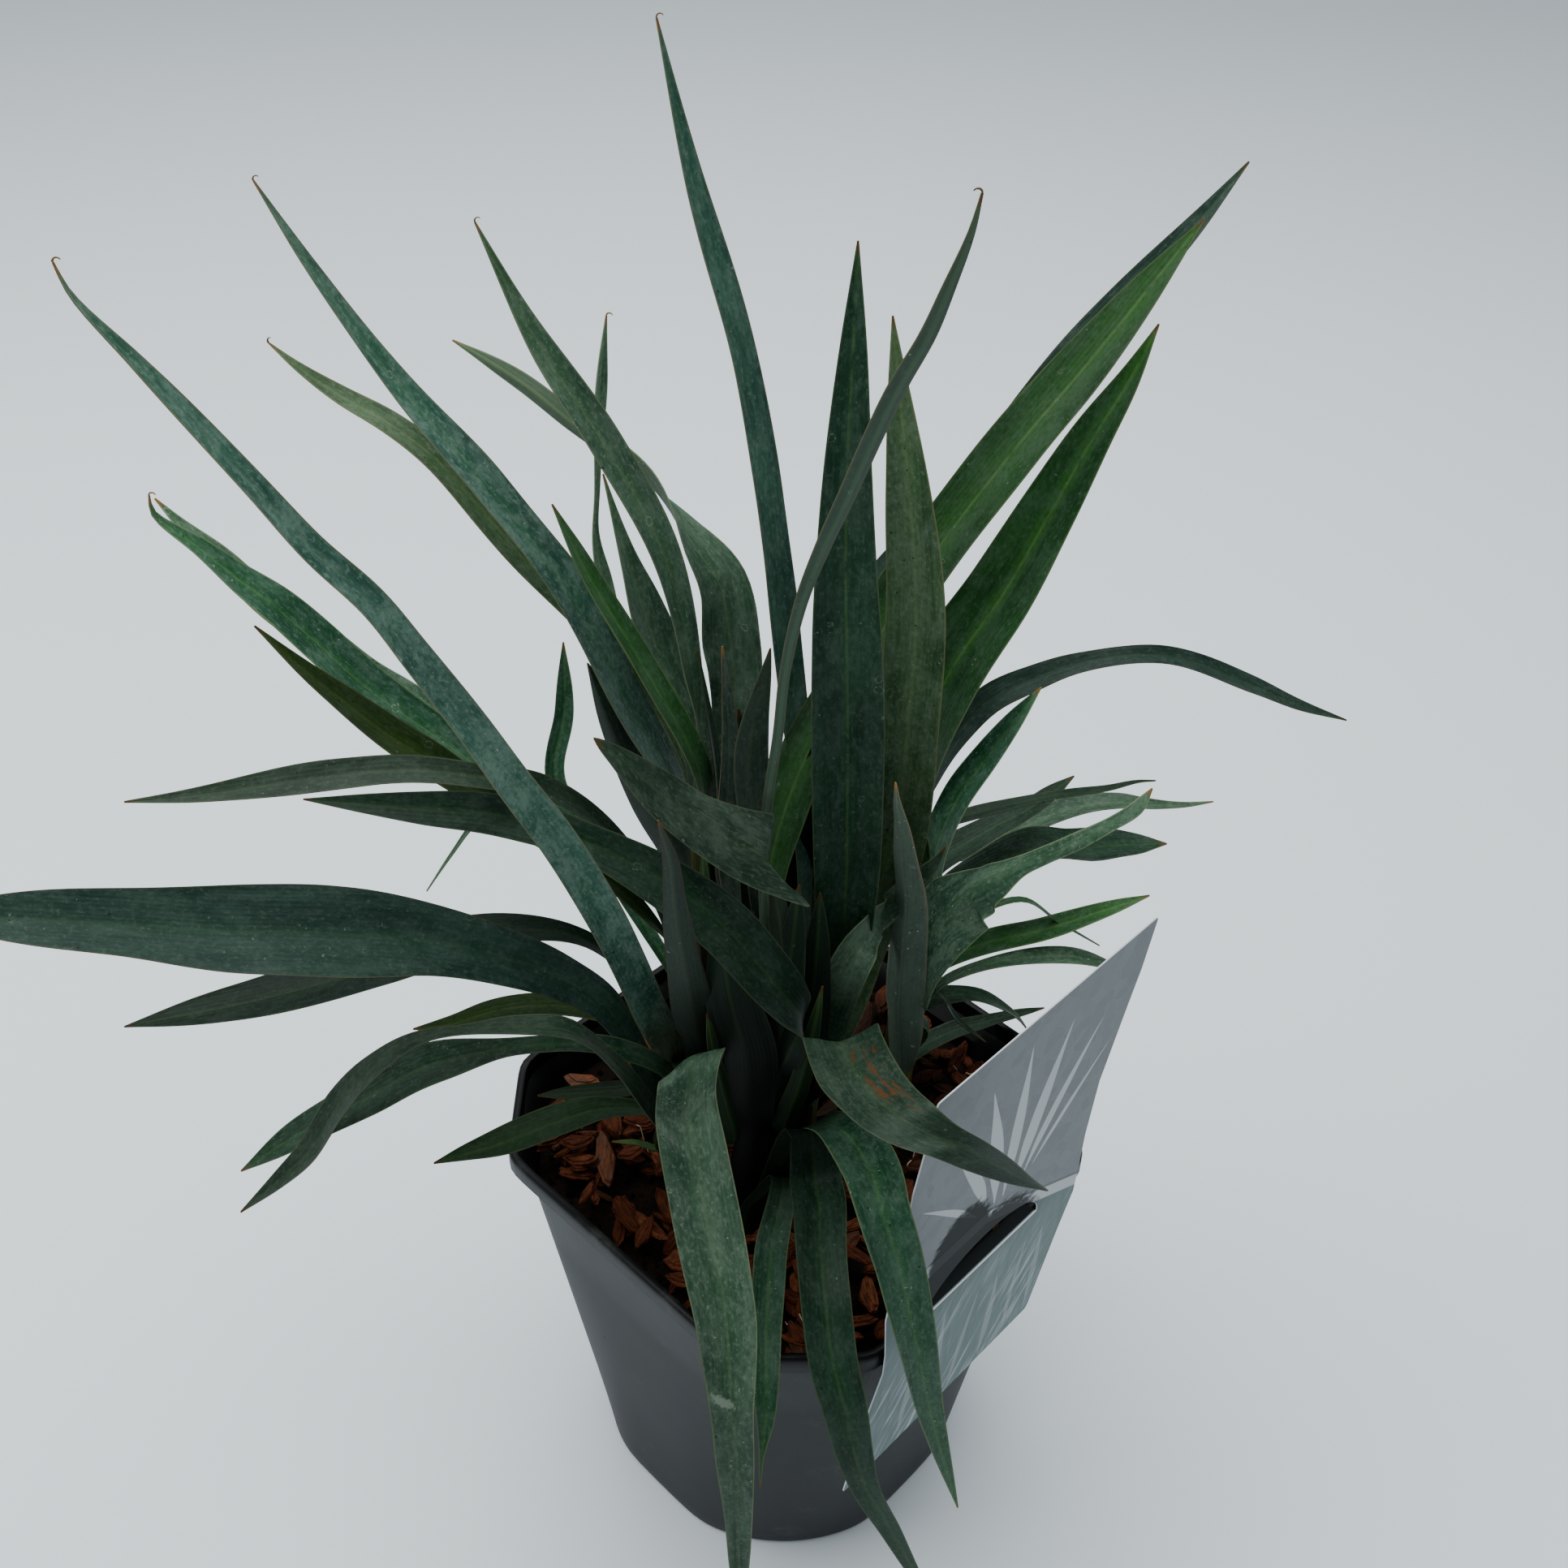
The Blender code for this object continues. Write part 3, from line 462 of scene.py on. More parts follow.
mulch = {
    "bedTop": 151.5,
    "bedFoot": 148.4,
    "bedInset": 2.2,
    "bedRows": 26,
    "bedColumns": 120,
    # the chips of each kind: how many, their length, how far they keep from the stems, and the random seed
    "chips": [(420, (6.0, 13.0), 9.0, 3), (330, (12.0, 22.0), 13.0, 4), (150, (20.0, 38.0), 17.0, 5)],
    "chipWidth": (0.32, 0.62),
    "chipThick": (0.10, 0.19),
    "thinnest": 1.3,
    "highest": 165.0,
    "cell": 2.5,
    "tilt": (17.0, 14.0),
    "crumbs": 1500,
    "crumbSize": (0.5, 1.7),
    "crumbSeed": 11,
    "fibres": 14,
    "fibreStep": 1.7,
    "fibreThick": 0.22,
    "fibreSides": 5,
    "fibreSeed": 21,
    "barkDark": (0.030, 0.008, 0.003),
    "barkMiddle": (0.105, 0.027, 0.010),
    "barkLight": (0.20, 0.064, 0.025),
    "barkGrey": (0.085, 0.045, 0.028),
    "peat": (0.0050, 0.0030, 0.0020),
    "peatLight": (0.016, 0.0080, 0.0045),
    "fibreDark": (0.30, 0.22, 0.13),
    "fibreLight": (0.55, 0.46, 0.32),
    # painted shade on the chips that lie among the stems: where it is, how far it reaches, and its colour
    "shadeMiddle": (12.0, 18.0),
    "shadeReach": (60.0, 36.0),
    "deepest": (0.0060, 0.0028, 0.0015),
}


def bedHeight(x, y):
    broad = noise.noise(Vector((x * 0.05, y * 0.05, 3.1)))
    fine = noise.noise(Vector((x * 0.14, y * 0.14, 7.7)))
    return mulch["bedTop"] + 1.6 * (broad + 0.5 * fine)


def insideWall(x, y, z, margin):
    azimuth = math.degrees(math.atan2(y, x)) % 360.0
    return math.hypot(x, y) + margin < wallReach(azimuth, z, pot["wall"])


def freeSpot(rng, reach, margin, keepOff, tries):
    # a random place in the pot, clear of its wall and of the stems
    for attempt in range(tries):
        x = rng.uniform(-reach, reach)
        y = rng.uniform(-reach, reach)
        if insideWall(x, y, 156.0, margin) and nearestShoot(x, y) > keepOff:
            return x, y
    return None


class HeightMap:
    # the top of what already lies in the pot
    def __init__(self):
        self.heights = {}

    def key(self, x, y):
        return round(x / mulch["cell"]), round(y / mulch["cell"])

    def top(self, x, y):
        return self.heights.get(self.key(x, y), bedHeight(x, y))

    def lift(self, x, y, z):
        if z > self.top(x, y):
            self.heights[self.key(x, y)] = z


def chipRings(length, rng):
    # an irregular flake, pointed at one or both ends, split in layers along its length
    width = length * rng.uniform(*mulch["chipWidth"])
    thick = max(mulch["thinnest"], length * rng.uniform(*mulch["chipThick"]))
    corners = rng.randint(7, 11)
    point = rng.uniform(0.7, 1.3)
    bow = rng.uniform(-0.10, 0.14) * length
    outline = []
    for i in range(corners):
        angle = 2.0 * math.pi * (i + rng.uniform(-0.25, 0.25)) / corners
        x = 0.5 * length * math.copysign(abs(math.cos(angle)) ** 0.9, math.cos(angle))
        taper = 1.0 - 0.55 * abs(2.0 * x / length) ** (1.0 + point)
        y = 0.5 * width * math.sin(angle) * taper * rng.uniform(0.75, 1.15)
        outline.append((x, y))
    step = rng.uniform(0.55, 0.9)
    shift = rng.uniform(-0.12, 0.12) * width
    # height, width and sideways shift of each layer's edge
    levels = ((-0.5, 0.78, 0.0), (-0.22, 1.0, 0.0), (0.12, 0.97, 0.0), (0.2, step, shift),
              (0.5, step * 0.86, shift))
    rings = []
    for level, scale, side in levels:
        ring = []
        for x, y in outline:
            rough = rng.uniform(-0.07, 0.07)
            z = level * thick * (1.0 + rough) + bow * (2.0 * x / length) ** 2 - 0.3 * bow
            ring.append(Vector((x * (scale + 0.5 * (1.0 - scale)), y * scale + side, z)))
        rings.append(ring)
    return rings, thick


def layChip(length, rng, heap, keepOff):
    rings, thick = chipRings(length, rng)
    spot = freeSpot(rng, 95.0, 0.40 * length, keepOff, 60)
    if spot is None:
        return None
    x, y = spot
    turn = Quaternion((0, 0, 1), rng.uniform(0.0, 2.0 * math.pi))
    tip = Quaternion((1, 0, 0), math.radians(rng.gauss(0.0, mulch["tilt"][0])))
    tip = Quaternion((0, 1, 0), math.radians(rng.gauss(0.0, mulch["tilt"][1]))) @ tip
    placed = [[turn @ (tip @ point) for point in ring] for ring in rings]
    middle = Vector((x, y, 0.0))
    under = [point for ring in placed[:2] for point in ring]
    samples = [(point, share) for point in under for share in (0.25, 0.6, 1.0)]
    rest = max(heap.top(x + p.x * s, y + p.y * s) - p.z * s for p, s in samples) - 0.22 * thick
    placed = [[point + middle + Vector((0.0, 0.0, rest)) for point in ring] for ring in placed]
    if max(point.z for ring in placed for point in ring) > mulch["highest"]:
        return None
    for point in placed[-1] + placed[-3]:
        for share in (0.0, 0.35, 0.7, 0.95):
            spot = middle.lerp(point, share)
            heap.lift(spot.x, spot.y, mix(rest, point.z, 0.8))
    return placed


def chipFinish():
    finish = Finish("bark", Roughness=0.8, Specular_IOR_Level=0.1)
    across = finish.field("across")
    along = finish.field("along")
    tone = finish.field("tone")
    fibres = finish.cloud(finish.place(across, along * 0.16, tone * 90.0), 0.9, 4.0, 0.65, 0.4)
    patches = finish.cloud(finish.place(across, along * 0.6, tone * 50.0), 5.0, 3.0, 0.6)
    flecks = finish.cloud(finish.place(across, along * 0.3, tone * 70.0), 0.5, 2.0, 0.6)
    flecks = finish.rise(flecks, 0.60, 0.74)
    colour = finish.blend(finish.rise(fibres, 0.30, 0.66), mulch["barkDark"], mulch["barkMiddle"])
    light = finish.rise(tone + 0.5 * patches, 0.55, 1.35)
    colour = finish.blend(light * finish.rise(fibres, 0.35, 0.7), colour, mulch["barkLight"])
    colour = finish.blend((tone > 0.86) * finish.rise(patches, 0.35, 0.6) * 0.7, colour, mulch["barkGrey"])
    colour = finish.blend(flecks * 0.55, colour, mulch["barkDark"])
    colour = finish.blend(finish.rise(patches, 0.56, 0.75) * 0.45, colour, mulch["peat"])
    # painted shade: the chips among the stems are darkened
    dark = finish.nearness(mulch["shadeMiddle"], *mulch["shadeReach"])
    colour = finish.blend(dark * 0.85, colour, mulch["deepest"])
    height = fibres + 0.7 * patches - 0.5 * flecks
    finish.set(Base_Color=colour, Roughness=0.62 + 0.3 * fibres, Normal=finish.bumps(height, 0.9, 0.9))
    return finish.material


def makeChips():
    heap = HeightMap()
    points = []
    faces = []
    fields = {"across": [], "along": [], "tone": []}
    laid = 0
    for chips, lengths, keepOff, seed in mulch["chips"]:
        rng = random.Random(seed)
        for chip in range(chips):
            rings = layChip(rng.uniform(*lengths), rng, heap, keepOff)
            tone = rng.random()
            if rings is None:
                continue
            laid += 1
            count = len(rings[0])
            faces += loftFaces(len(rings), count, base=len(points))
            middle = sum((p for ring in rings for p in ring), Vector()) / (count * len(rings))
            length = (rings[1][0] - rings[1][count // 2]).normalized()
            side = Vector((0, 0, 1)).cross(length)
            for point in [p for ring in rings for p in ring]:
                points.append(point)
                fields["across"].append((point - middle).dot(side) + 0.7 * (point - middle).z)
                fields["along"].append((point - middle).dot(length))
                fields["tone"].append(tone)
    mesh = newMesh("bark_chips", points, faces, fields, sharp=24.0)
    addPiece("bark_chips", mesh, chipFinish(), "bark", "bark_mulch")
    print("bark chips laid:", laid)
    return heap


def peatFinish():
    finish = Finish("peat", Roughness=0.95, Specular_IOR_Level=0.1)
    where = finish.where()
    grains = finish.cloud(where, 1.6, 4.0, 0.7)
    clumps = finish.cloud(where, 11.0, 2.0)
    light = finish.rise(grains * 0.7 + clumps * 0.3, 0.42, 0.68)
    finish.set(Base_Color=finish.blend(light, mulch["peat"], mulch["peatLight"]),
               Roughness=0.82 + 0.16 * grains, Normal=finish.bumps(grains + clumps, 1.2, 0.9))
    return finish.material


def makeBed():
    # the fine dark layer under and between the chips, with crumbs lying on it
    rows = mulch["bedRows"]
    columns = mulch["bedColumns"]
    points = []
    for row in range(rows + 1):
        share = max(1.0 - row / rows, 0.004)
        for column in range(columns):
            azimuth = 360.0 * column / columns
            reach = wallReach(azimuth, 152.0, mulch["bedInset"]) * share
            turn = math.radians(azimuth)
            x = reach * math.cos(turn)
            y = reach * math.sin(turn)
            fine = noise.noise(Vector((x * 0.5, y * 0.5, 1.3)))
            points.append((x, y, bedHeight(x, y) + 0.5 * fine))
    points = [(x, y, mulch["bedFoot"]) for x, y, z in points[:columns]] + points
    faces = loftFaces(rows + 2, columns)
    rng = random.Random(mulch["crumbSeed"])
    for crumb in range(mulch["crumbs"]):
        x = rng.uniform(-92.0, 92.0)
        y = rng.uniform(-92.0, 92.0)
        if insideWall(x, y, 154.0, 2.5):
            size = rng.uniform(*mulch["crumbSize"])
            addCrumb(points, faces, Vector((x, y, bedHeight(x, y) + 0.5 * size)), size, rng)
    mesh = newMesh("mulch_bed", points, faces, sharp=50.0)
    addPiece("mulch_bed", mesh, peatFinish(), "potting_mix", "bark_mulch")


def addCrumb(points, faces, middle, size, rng):
    base = len(points)
    for axis in ((1, 0, 0), (-1, 0, 0), (0, 1, 0), (0, -1, 0), (0, 0, 1), (0, 0, -1)):
        points.append(middle + Vector(axis) * size * rng.uniform(0.6, 1.25))
    faces += [(base + a, base + b, base + c) for a in (0, 1) for b in (2, 3) for c in (4, 5)]


def fibreFinish():
    finish = Finish("pale_fibre", Roughness=0.8)
    tint = finish.cloud(finish.where(), 4.0, 2.0)
    colour = finish.blend(tint, mulch["fibreDark"], mulch["fibreLight"])
    finish.set(Base_Color=colour, Roughness=0.7 + 0.2 * tint)
    return finish.material


def makeFibres(heap):
    # pale thin roots and fibres that lie on the bark
    rng = random.Random(mulch["fibreSeed"])
    points = []
    faces = []
    count = mulch["fibreSides"]
    for fibre in range(mulch["fibres"]):
        middle = Vector((*freeSpot(rng, 80.0, 10.0, 12.0, 40), 0.0))
        heading = rng.uniform(0.0, 2.0 * math.pi)
        rings = rng.randint(7, 12)
        faces += loftFaces(rings, count, base=len(points))
        for ring in range(rings):
            heading += rng.uniform(-0.4, 0.4)
            ahead = Vector((math.cos(heading), math.sin(heading), 0.0))
            middle = middle + ahead * mulch["fibreStep"]
            side = Vector((-ahead.y, ahead.x, 0.0))
            radius = mulch["fibreThick"] * math.sin(math.pi * (ring + 0.6) / (rings + 0.2)) + 0.05
            lift = heap.top(middle.x, middle.y) + 0.5
            for i in range(count):
                angle = 2.0 * math.pi * i / count
                outward = side * math.cos(angle) + Vector((0, 0, math.sin(angle)))
                points.append(Vector((middle.x, middle.y, lift)) + outward * radius)
    addPiece("pale_fibres", newMesh("pale_fibres", points, faces), fibreFinish(), "bark")


def dressMix():
    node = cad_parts["potting_mix"]
    node.data.materials.clear()
    node.data.materials.append(peatFinish())


makeBed()
makeFibres(makeChips())
dressMix()
print("filling made")


# Leaves

# Every leaf: its shoot, the height and azimuth of its foot, the azimuth that it leans to, its widths and its
# roll from foot to tip, and the points that it runs through to its tip. Past the fold of a folded leaf, rims
# has its two edges with the midrib between them.
leafTable = [
    # main shoot, low leaves arching over the front
    dict(name="front_second", shoot="main", foot=(160, 262), lean=268, finish="deep",
        widths=(5, 6, 7.5, 9, 10.5, 10.5, 10, 9, 6.5, 2, 0.5),
        route=[(-6, -45, 188), (-10, -66, 180), (-11, -79, 178), (-12, -95, 176), (-12, -106, 172),
            (-12, -115, 164), (-13, -121, 153), (-13, -124, 143)]),
    dict(name="front_centre", shoot="main", foot=(164, 292), lean=278, finish="deep",
        widths=(6.5, 9, 13.5, 17, 15.5, 15, 12.5, 8.5, 6.5, 4, 0.5),
        route=[(1, -48, 216), (3, -55, 202), (4, -66, 202), (4, -82, 201), (5, -98, 197), (7, -109, 187),
            (11, -117, 174), (14, -122, 161), (19, -125, 143), (27, -126, 123), (37, -126, 95),
            (46, -125, 71)]),
    dict(name="front_right", shoot="main", foot=(168, 330), lean=292, finish="deep",
        widths=(6.5, 8, 12, 15.5, 17.5, 15.5, 14, 11, 8, 4.5, 0.5),
        route=[(3, -36, 203), (6, -50, 221), (11, -68, 237), (16, -89, 246), (18, -101, 245),
            (22, -106, 234), (29, -114, 207), (36, -118, 174), (49, -120, 123)]),
    # main shoot, upright and high leaves
    dict(name="left_arc_dark", shoot="main", foot=(214, 300), lean=165, finish="deep",
        roll=(0, -45, -50, -50, -45), widths=(6.5, 9, 13, 16, 17, 15, 11.5, 12.5, 11, 6.5, 0.5),
        route=[(-3, -42, 259), (-7, -43, 267), (-14, -42, 278), (-28, -37, 294), (-48, -29, 305),
            (-71, -21, 312), (-92, -15, 314), (-115, -10, 312), (-150, -2, 308)]),
    dict(name="centre_folded", shoot="main", foot=(240, 315), lean=175, finish="greyGreen",
        roll=(0, 0, -20, -35, -35), widths=(6.5, 7.5, 10, 14, 18, 21.5, 22.5, 18.5, 15, 10.5, 0.5),
        route=[(-8, -31, 262), (-10, -28, 284), (-13, -27, 300)],
        rims=[((-13.5, -33, 330.5), (-15, -40, 320), (-3.5, -47.5, 309.5)),
            ((-15, -33, 331), (-16, -40, 321), (-6, -47, 310)),
            ((-19.5, -33, 332), (-19.5, -39, 323), (-13.5, -46, 312.5)),
            ((-25, -32, 333), (-26.5, -37, 325.5), (-21.5, -44, 315)),
            ((-32, -30.5, 335), (-33.5, -34.5, 329.5), (-29.5, -41.5, 319)),
            ((-38.5, -28.5, 338.5), (-41, -32, 333), (-37, -38.5, 323.5)),
            ((-46, -27.5, 343), (-47.5, -30.5, 338.5), (-45.5, -36, 330.5)),
            ((-52.5, -27, 347), (-53.5, -29, 344.5), (-52.5, -33, 338.5)),
            ((-58, -27, 350), (-58, -28, 348), (-57.5, -30.5, 345)),
            ((-60.5, -27, 351), (-60.5, -27.5, 350), (-60.5, -28.5, 348.5))],
        tip=(-62, -27, 351)),
    dict(name="tall_back", shoot="centre", foot=(244, 150), lean=165, finish="blueGrey",
        roll=(0, -20, -30, -30), widths=(6, 8, 12.5, 14, 13.5, 11.5, 10.5, 9, 8.5, 5, 0.5),
        route=[(-2, 4, 280), (-4, 17, 304), (-8, 19, 332), (-14, 22, 381), (-18, 24, 407), (-24, 26, 437),
            (-37, 30, 481), (-46, 34, 519)]),
    dict(name="narrow_arch", shoot="main", foot=(282, 240), lean=285, finish="blueGrey",
        widths=(3.5, 3, 3, 3, 3, 3.5, 4.5, 5, 5, 3.5, 0.5),
        route=[(-15, -27, 326), (-13, -35, 359), (-12, -38, 381), (-9, -42, 404), (-5, -46, 421),
            (0, -51, 439), (4, -55, 454), (8, -59, 468), (13, -62, 481), (16, -64, 492), (19, -66, 504),
            (20, -68, 513)]),
    dict(name="grey_inner", shoot="main", foot=(272, 135), lean=120, finish="greyGreen",
        widths=(4.5, 5.5, 7, 8.5, 10, 11, 11.5, 11, 8.5, 5, 0.5),
        route=[(-18, -16, 310), (-20, -12, 338), (-15, -8, 368)]),
    dict(name="purple_back", shoot="main", foot=(244, 165), lean=140, finish="purple",
        widths=(4, 4.5, 5.5, 7, 9, 10, 10, 8.5, 6.5, 4, 0.5),
        route=[(-26, -12, 296), (-26, -5, 336), (-28, 0, 363)]),
    dict(name="right_top", shoot="centre", foot=(236, 110), lean=35, finish="blueGrey",
        roll=(0, 10, 10), widths=(6.5, 7, 9.5, 12, 13.5, 12.5, 10.5, 10.5, 10.5, 8, 0.5),
        route=[(6, 10, 280), (8, 30, 322), (18, 42, 354), (43, 47, 386), (54, 50, 405), (70, 54, 428),
            (97, 60, 460), (110, 63, 478)]),
    dict(name="right_upper", shoot="main", foot=(262, 100), lean=25, finish="bright",
        roll=(0, 15, 15), widths=(6.5, 10, 16, 18.5, 21, 20, 19, 19, 17, 11, 0.5),
        route=[(-12, -6, 292), (-2, 8, 320), (9, 17, 336), (21, 25, 357), (32, 29, 376), (54, 34, 410),
            (69, 38, 430), (96, 45, 469)]),
    # centre shoot
    dict(name="centre_dark", shoot="centre", foot=(205, 60), lean=90, finish="deep",
        widths=(7, 11, 17, 20.5, 21.5, 21.5, 20, 16.5, 12.5, 7.5, 0.5),
        route=[(11, -6, 235), (11, -5, 275), (9, -3, 320), (7, -1, 355), (5, 3, 385), (4, 8, 415),
            (4, 14, 444), (4, 20, 470)]),
    dict(name="centre_pale", shoot="centre", foot=(176, 80), lean=75, finish="pale",
        widths=(8, 12, 17, 20, 20.5, 20, 19, 17.5, 14.5, 8.5, 0.5),
        route=[(13, 4, 212), (20, 15, 240), (27, 14, 281), (27, 10, 331), (26, 9, 371), (21, 11, 407),
            (17, 15, 431), (14, 20, 451)]),
    dict(name="front_folded", shoot="centre", foot=(160, 300), lean=329, finish="greyGreen",
        widths=(6.5, 9, 14, 19, 22, 21.5, 19, 16, 9.5, 6, 0.5),
        route=[(4, -24, 200), (7, -40, 238)],
        rims=[((-3.5, -56, 267), (7.5, -55.5, 264), (18, -54.5, 270.5)),
            ((-3, -62.5, 269), (8, -61.5, 266.5), (18.5, -60, 273)),
            ((-1.5, -73, 272), (9.5, -71, 271), (20, -70, 276.5)),
            ((0.5, -81.5, 274.5), (12, -79.5, 273.5), (22.5, -79, 278.5)),
            ((6, -91, 276), (16, -88, 276), (25.5, -87.5, 281)),
            ((12, -100, 278.5), (21, -96.5, 279.5), (29.5, -96, 284)),
            ((20.5, -104, 277), (28.5, -100.5, 278), (35, -100.5, 282)),
            ((28.5, -106, 276), (37, -103, 276), (42, -103.5, 279.5)),
            ((39.5, -104, 267.5), (46.5, -101, 267), (50, -102, 270.5)),
            ((51, -99.5, 257), (55.5, -97, 256), (57.5, -98.5, 258.5))],
        tip=(65, -92, 244)),
    dict(name="right_mid", shoot="right", foot=(214, 200), lean=25, finish="bright",
        roll=(0, 15, 15), widths=(6.5, 8, 12.5, 18, 23.5, 26.5, 25, 21.5, 17, 10.5, 0.5),
        route=[(34, 24, 265), (33, 26, 300), (40, 29, 333), (55, 33, 362), (66, 36, 388), (75, 39, 409),
            (83, 42, 425), (89, 45, 440)]),
    dict(name="right_arch", shoot="right", foot=(206, 145), lean=10, finish="blueGrey",
        roll=(0, 25, 25), widths=(4, 4.5, 6.5, 9.5, 11, 10, 7, 7, 8, 5.5, 0.5),
        route=[(34, 36, 262), (42, 38, 294), (49, 39, 308), (57, 40, 318), (69, 42, 324), (83, 44, 329),
            (110, 48, 330), (142, 53, 316), (161, 56, 306), (180, 59, 298)]),
    dict(name="right_curved", shoot="centre", foot=(186, 345), lean=20, finish="deep",
        roll=(60, 60), widths=(10, 13, 14, 14, 14, 13.5, 12.5, 11, 9, 6, 0.5),
        route=[(5, -15, 208), (6, -17, 219), (7, -18, 235), (10, -20, 252), (15, -16, 263), (21, -4, 263),
            (26, 7, 259), (32, 11, 264), (40, 12, 274), (43, 12, 281)]),
    # right shoot
    dict(name="right_keeled", shoot="right", foot=(166, 255), lean=270, finish="purple", keel=30,
        roll=(-25, -35, -35, -35), widths=(8, 11, 15, 17, 17, 16, 14.5, 12, 9, 5, 0.5),
        route=[(37, 17, 166), (36, 13, 188), (33, 7, 214), (32, 5, 239), (31, 3, 265), (28, 1, 284),
            (26, -1, 299), (24, -3, 310), (23, -4, 319)]),
    dict(name="right_small", shoot="right", foot=(208, 5), lean=30, finish="deep",
        widths=(4, 5, 6.5, 9, 12, 13, 12.5, 12, 10.5, 7, 0.5),
        route=[(46, 26, 228), (44, 28, 246), (43, 27, 266), (48, 29, 286), (57, 32, 302), (71, 37, 325)]),
    dict(name="right_torn", shoot="right", foot=(170, 320), lean=0, finish="deep",
        roll=(0, 10, 20), widths=(6.5, 8, 11.5, 15.5, 29.5, 32.5, 21.5, 8.5, 6, 5, 0.5),
        route=[(43, 9, 205)],
        rims=[((44, 4, 226.5), (39.5, 10, 239.5), (37.5, 17, 252.5)),
            ((50, 4.5, 239), (44.5, 11, 251.5), (41, 16.5, 262.5)),
            ((56.5, 5.5, 248), (49, 11, 258.5), (48.5, 15.5, 267)),
            ((59, 5.5, 252), (51, 11, 261.5), (51.5, 14.5, 269)),
            ((57, 6, 254.5), (52.5, 11, 263.5), (53.5, 14, 270)),
            ((60.5, 6.5, 258), (54.5, 11, 265.5), (55, 13.5, 271)),
            ((60.5, 7, 260), (56.5, 11, 267.5), (57.5, 13.5, 272.5)),
            ((63.5, 8, 264), (60.5, 11, 270), (62, 13.5, 274)),
            ((69, 10.5, 270), (68, 12, 273.5), (68.5, 14, 276.5)),
            ((75.5, 12, 273.5), (75, 13, 276), (75.5, 15, 279.5)),
            ((87, 14, 279), (86.5, 15, 281.5), (85, 16.5, 284)),
            ((96, 15.5, 285), (94.5, 16.5, 287), (93.5, 17.5, 288.5)),
            ((103, 17, 289.5), (101.5, 18, 291.5), (100, 18.5, 293)),
            ((105.5, 18, 292.5), (104.5, 18.5, 294), (103, 19.5, 295.5))],
        tip=(107, 20, 299)),
    dict(name="right_slender", shoot="right", foot=(218, 90), lean=20, finish="deep",
        widths=(2.5, 3, 4, 5.5, 6.5, 6.5, 5.5, 4.5, 4, 2.5, 0.5),
        route=[(39, 35, 250), (37, 36, 265), (56, 41, 270), (72, 46, 271), (88, 51, 271), (104, 57, 269),
            (115, 61, 269), (122, 63, 268)]),
    dict(name="right_behind", shoot="right", foot=(210, 96), lean=30, finish="deep",
        widths=(4.5, 5.5, 7, 10, 13, 13, 11.5, 10, 8, 6.5, 0.5),
        route=[(42, 40, 237), (45, 42, 247), (56, 46, 253), (67, 51, 257), (79, 57, 260), (94, 65, 268)]),
    dict(name="right_speckled", shoot="right", foot=(190, 90), lean=20, finish="greyGreen",
        widths=(4, 4, 5, 7, 9.5, 10.5, 11, 10, 8.5, 4.5, 0.5),
        route=[(43, 48, 223), (50, 54, 238), (62, 58, 239), (76, 62, 245), (90, 67, 249), (102, 71, 250),
            (115, 74, 249), (128, 79, 244), (142, 83, 241), (152, 84, 242)]),
    dict(name="right_flat", shoot="right", foot=(198, 45), lean=25, finish="deep",
        widths=(6, 6.5, 8.5, 11.5, 14, 16, 18, 19, 18, 13, 0.5),
        route=[(46, 35, 233), (68, 46, 244), (82, 50, 248), (97, 53, 245), (109, 56, 244), (120, 59, 242),
            (130, 60, 242)]),
    dict(name="right_bright", shoot="right", foot=(180, 40), lean=5, finish="bright",
        roll=(0, 15, 15), widths=(4, 5.5, 7.5, 9, 9.5, 10, 9.5, 9, 7.5, 5, 0.5),
        route=[(45, 30, 203), (49, 31, 210), (64, 31, 220), (84, 31, 227), (103, 33, 234), (119, 34, 241)]),
    dict(name="right_low", shoot="right", foot=(174, 350), lean=0, finish="deep",
        widths=(3.5, 3.5, 4, 4.5, 5, 5.5, 7, 8.5, 8.5, 6, 0.5),
        route=[(45, 22, 198), (50, 22, 210), (68, 23, 219), (93, 24, 221), (113, 24, 215)]),
    dict(name="rim_arc", shoot="right", foot=(166, 15), lean=5, finish="deep",
        widths=(3.5, 4, 6, 9, 10.5, 9.5, 7.5, 7, 5, 3, 0.5),
        route=[(47, 25, 186), (42, 25, 195), (61, 27, 199), (77, 28, 189), (85, 29, 178)]),
    dict(name="rim_low", shoot="right", foot=(154, 50), lean=20, finish="deep",
        widths=(3, 7, 8.5, 9, 8.5, 8, 7, 5.5, 4.5, 3, 0.5),
        route=[(41, 29, 163), (57, 34, 172), (69, 37, 174), (80, 40, 175), (93, 44, 175)]),
    # left shoot
    dict(name="purple_left", shoot="left", foot=(192, 305), lean=270, finish="purple",
        widths=(6.5, 8.5, 11.5, 13, 14, 12.5, 10.5, 9, 6.5, 4.5, 0.5),
        route=[(-31, -22, 218), (-34, -30, 241), (-37, -40, 273), (-39, -45, 296), (-40, -48, 311),
            (-41, -49, 327), (-44, -50, 342)]),
    dict(name="front_left", shoot="left", foot=(178, 285), lean=270, finish="greyGreen",
        widths=(6.5, 10.5, 17.5, 19, 19.5, 18.5, 13.5, 10.5, 8, 5, 0.5),
        route=[(-33, -28, 210)],
        rims=[((-44.5, -57.5, 248.5), (-36, -52, 253), (-25.5, -52, 257.5)),
            ((-45, -61.5, 249.5), (-36, -57, 252), (-27, -57, 257)),
            ((-45.5, -65.5, 242.5), (-35.5, -65, 239), (-28, -61.5, 249.5)),
            ((-44, -74, 237), (-34, -72.5, 235), (-24.5, -73, 238)),
            ((-41.5, -82.5, 228), (-31.5, -81, 226), (-21.5, -82.5, 228.5)),
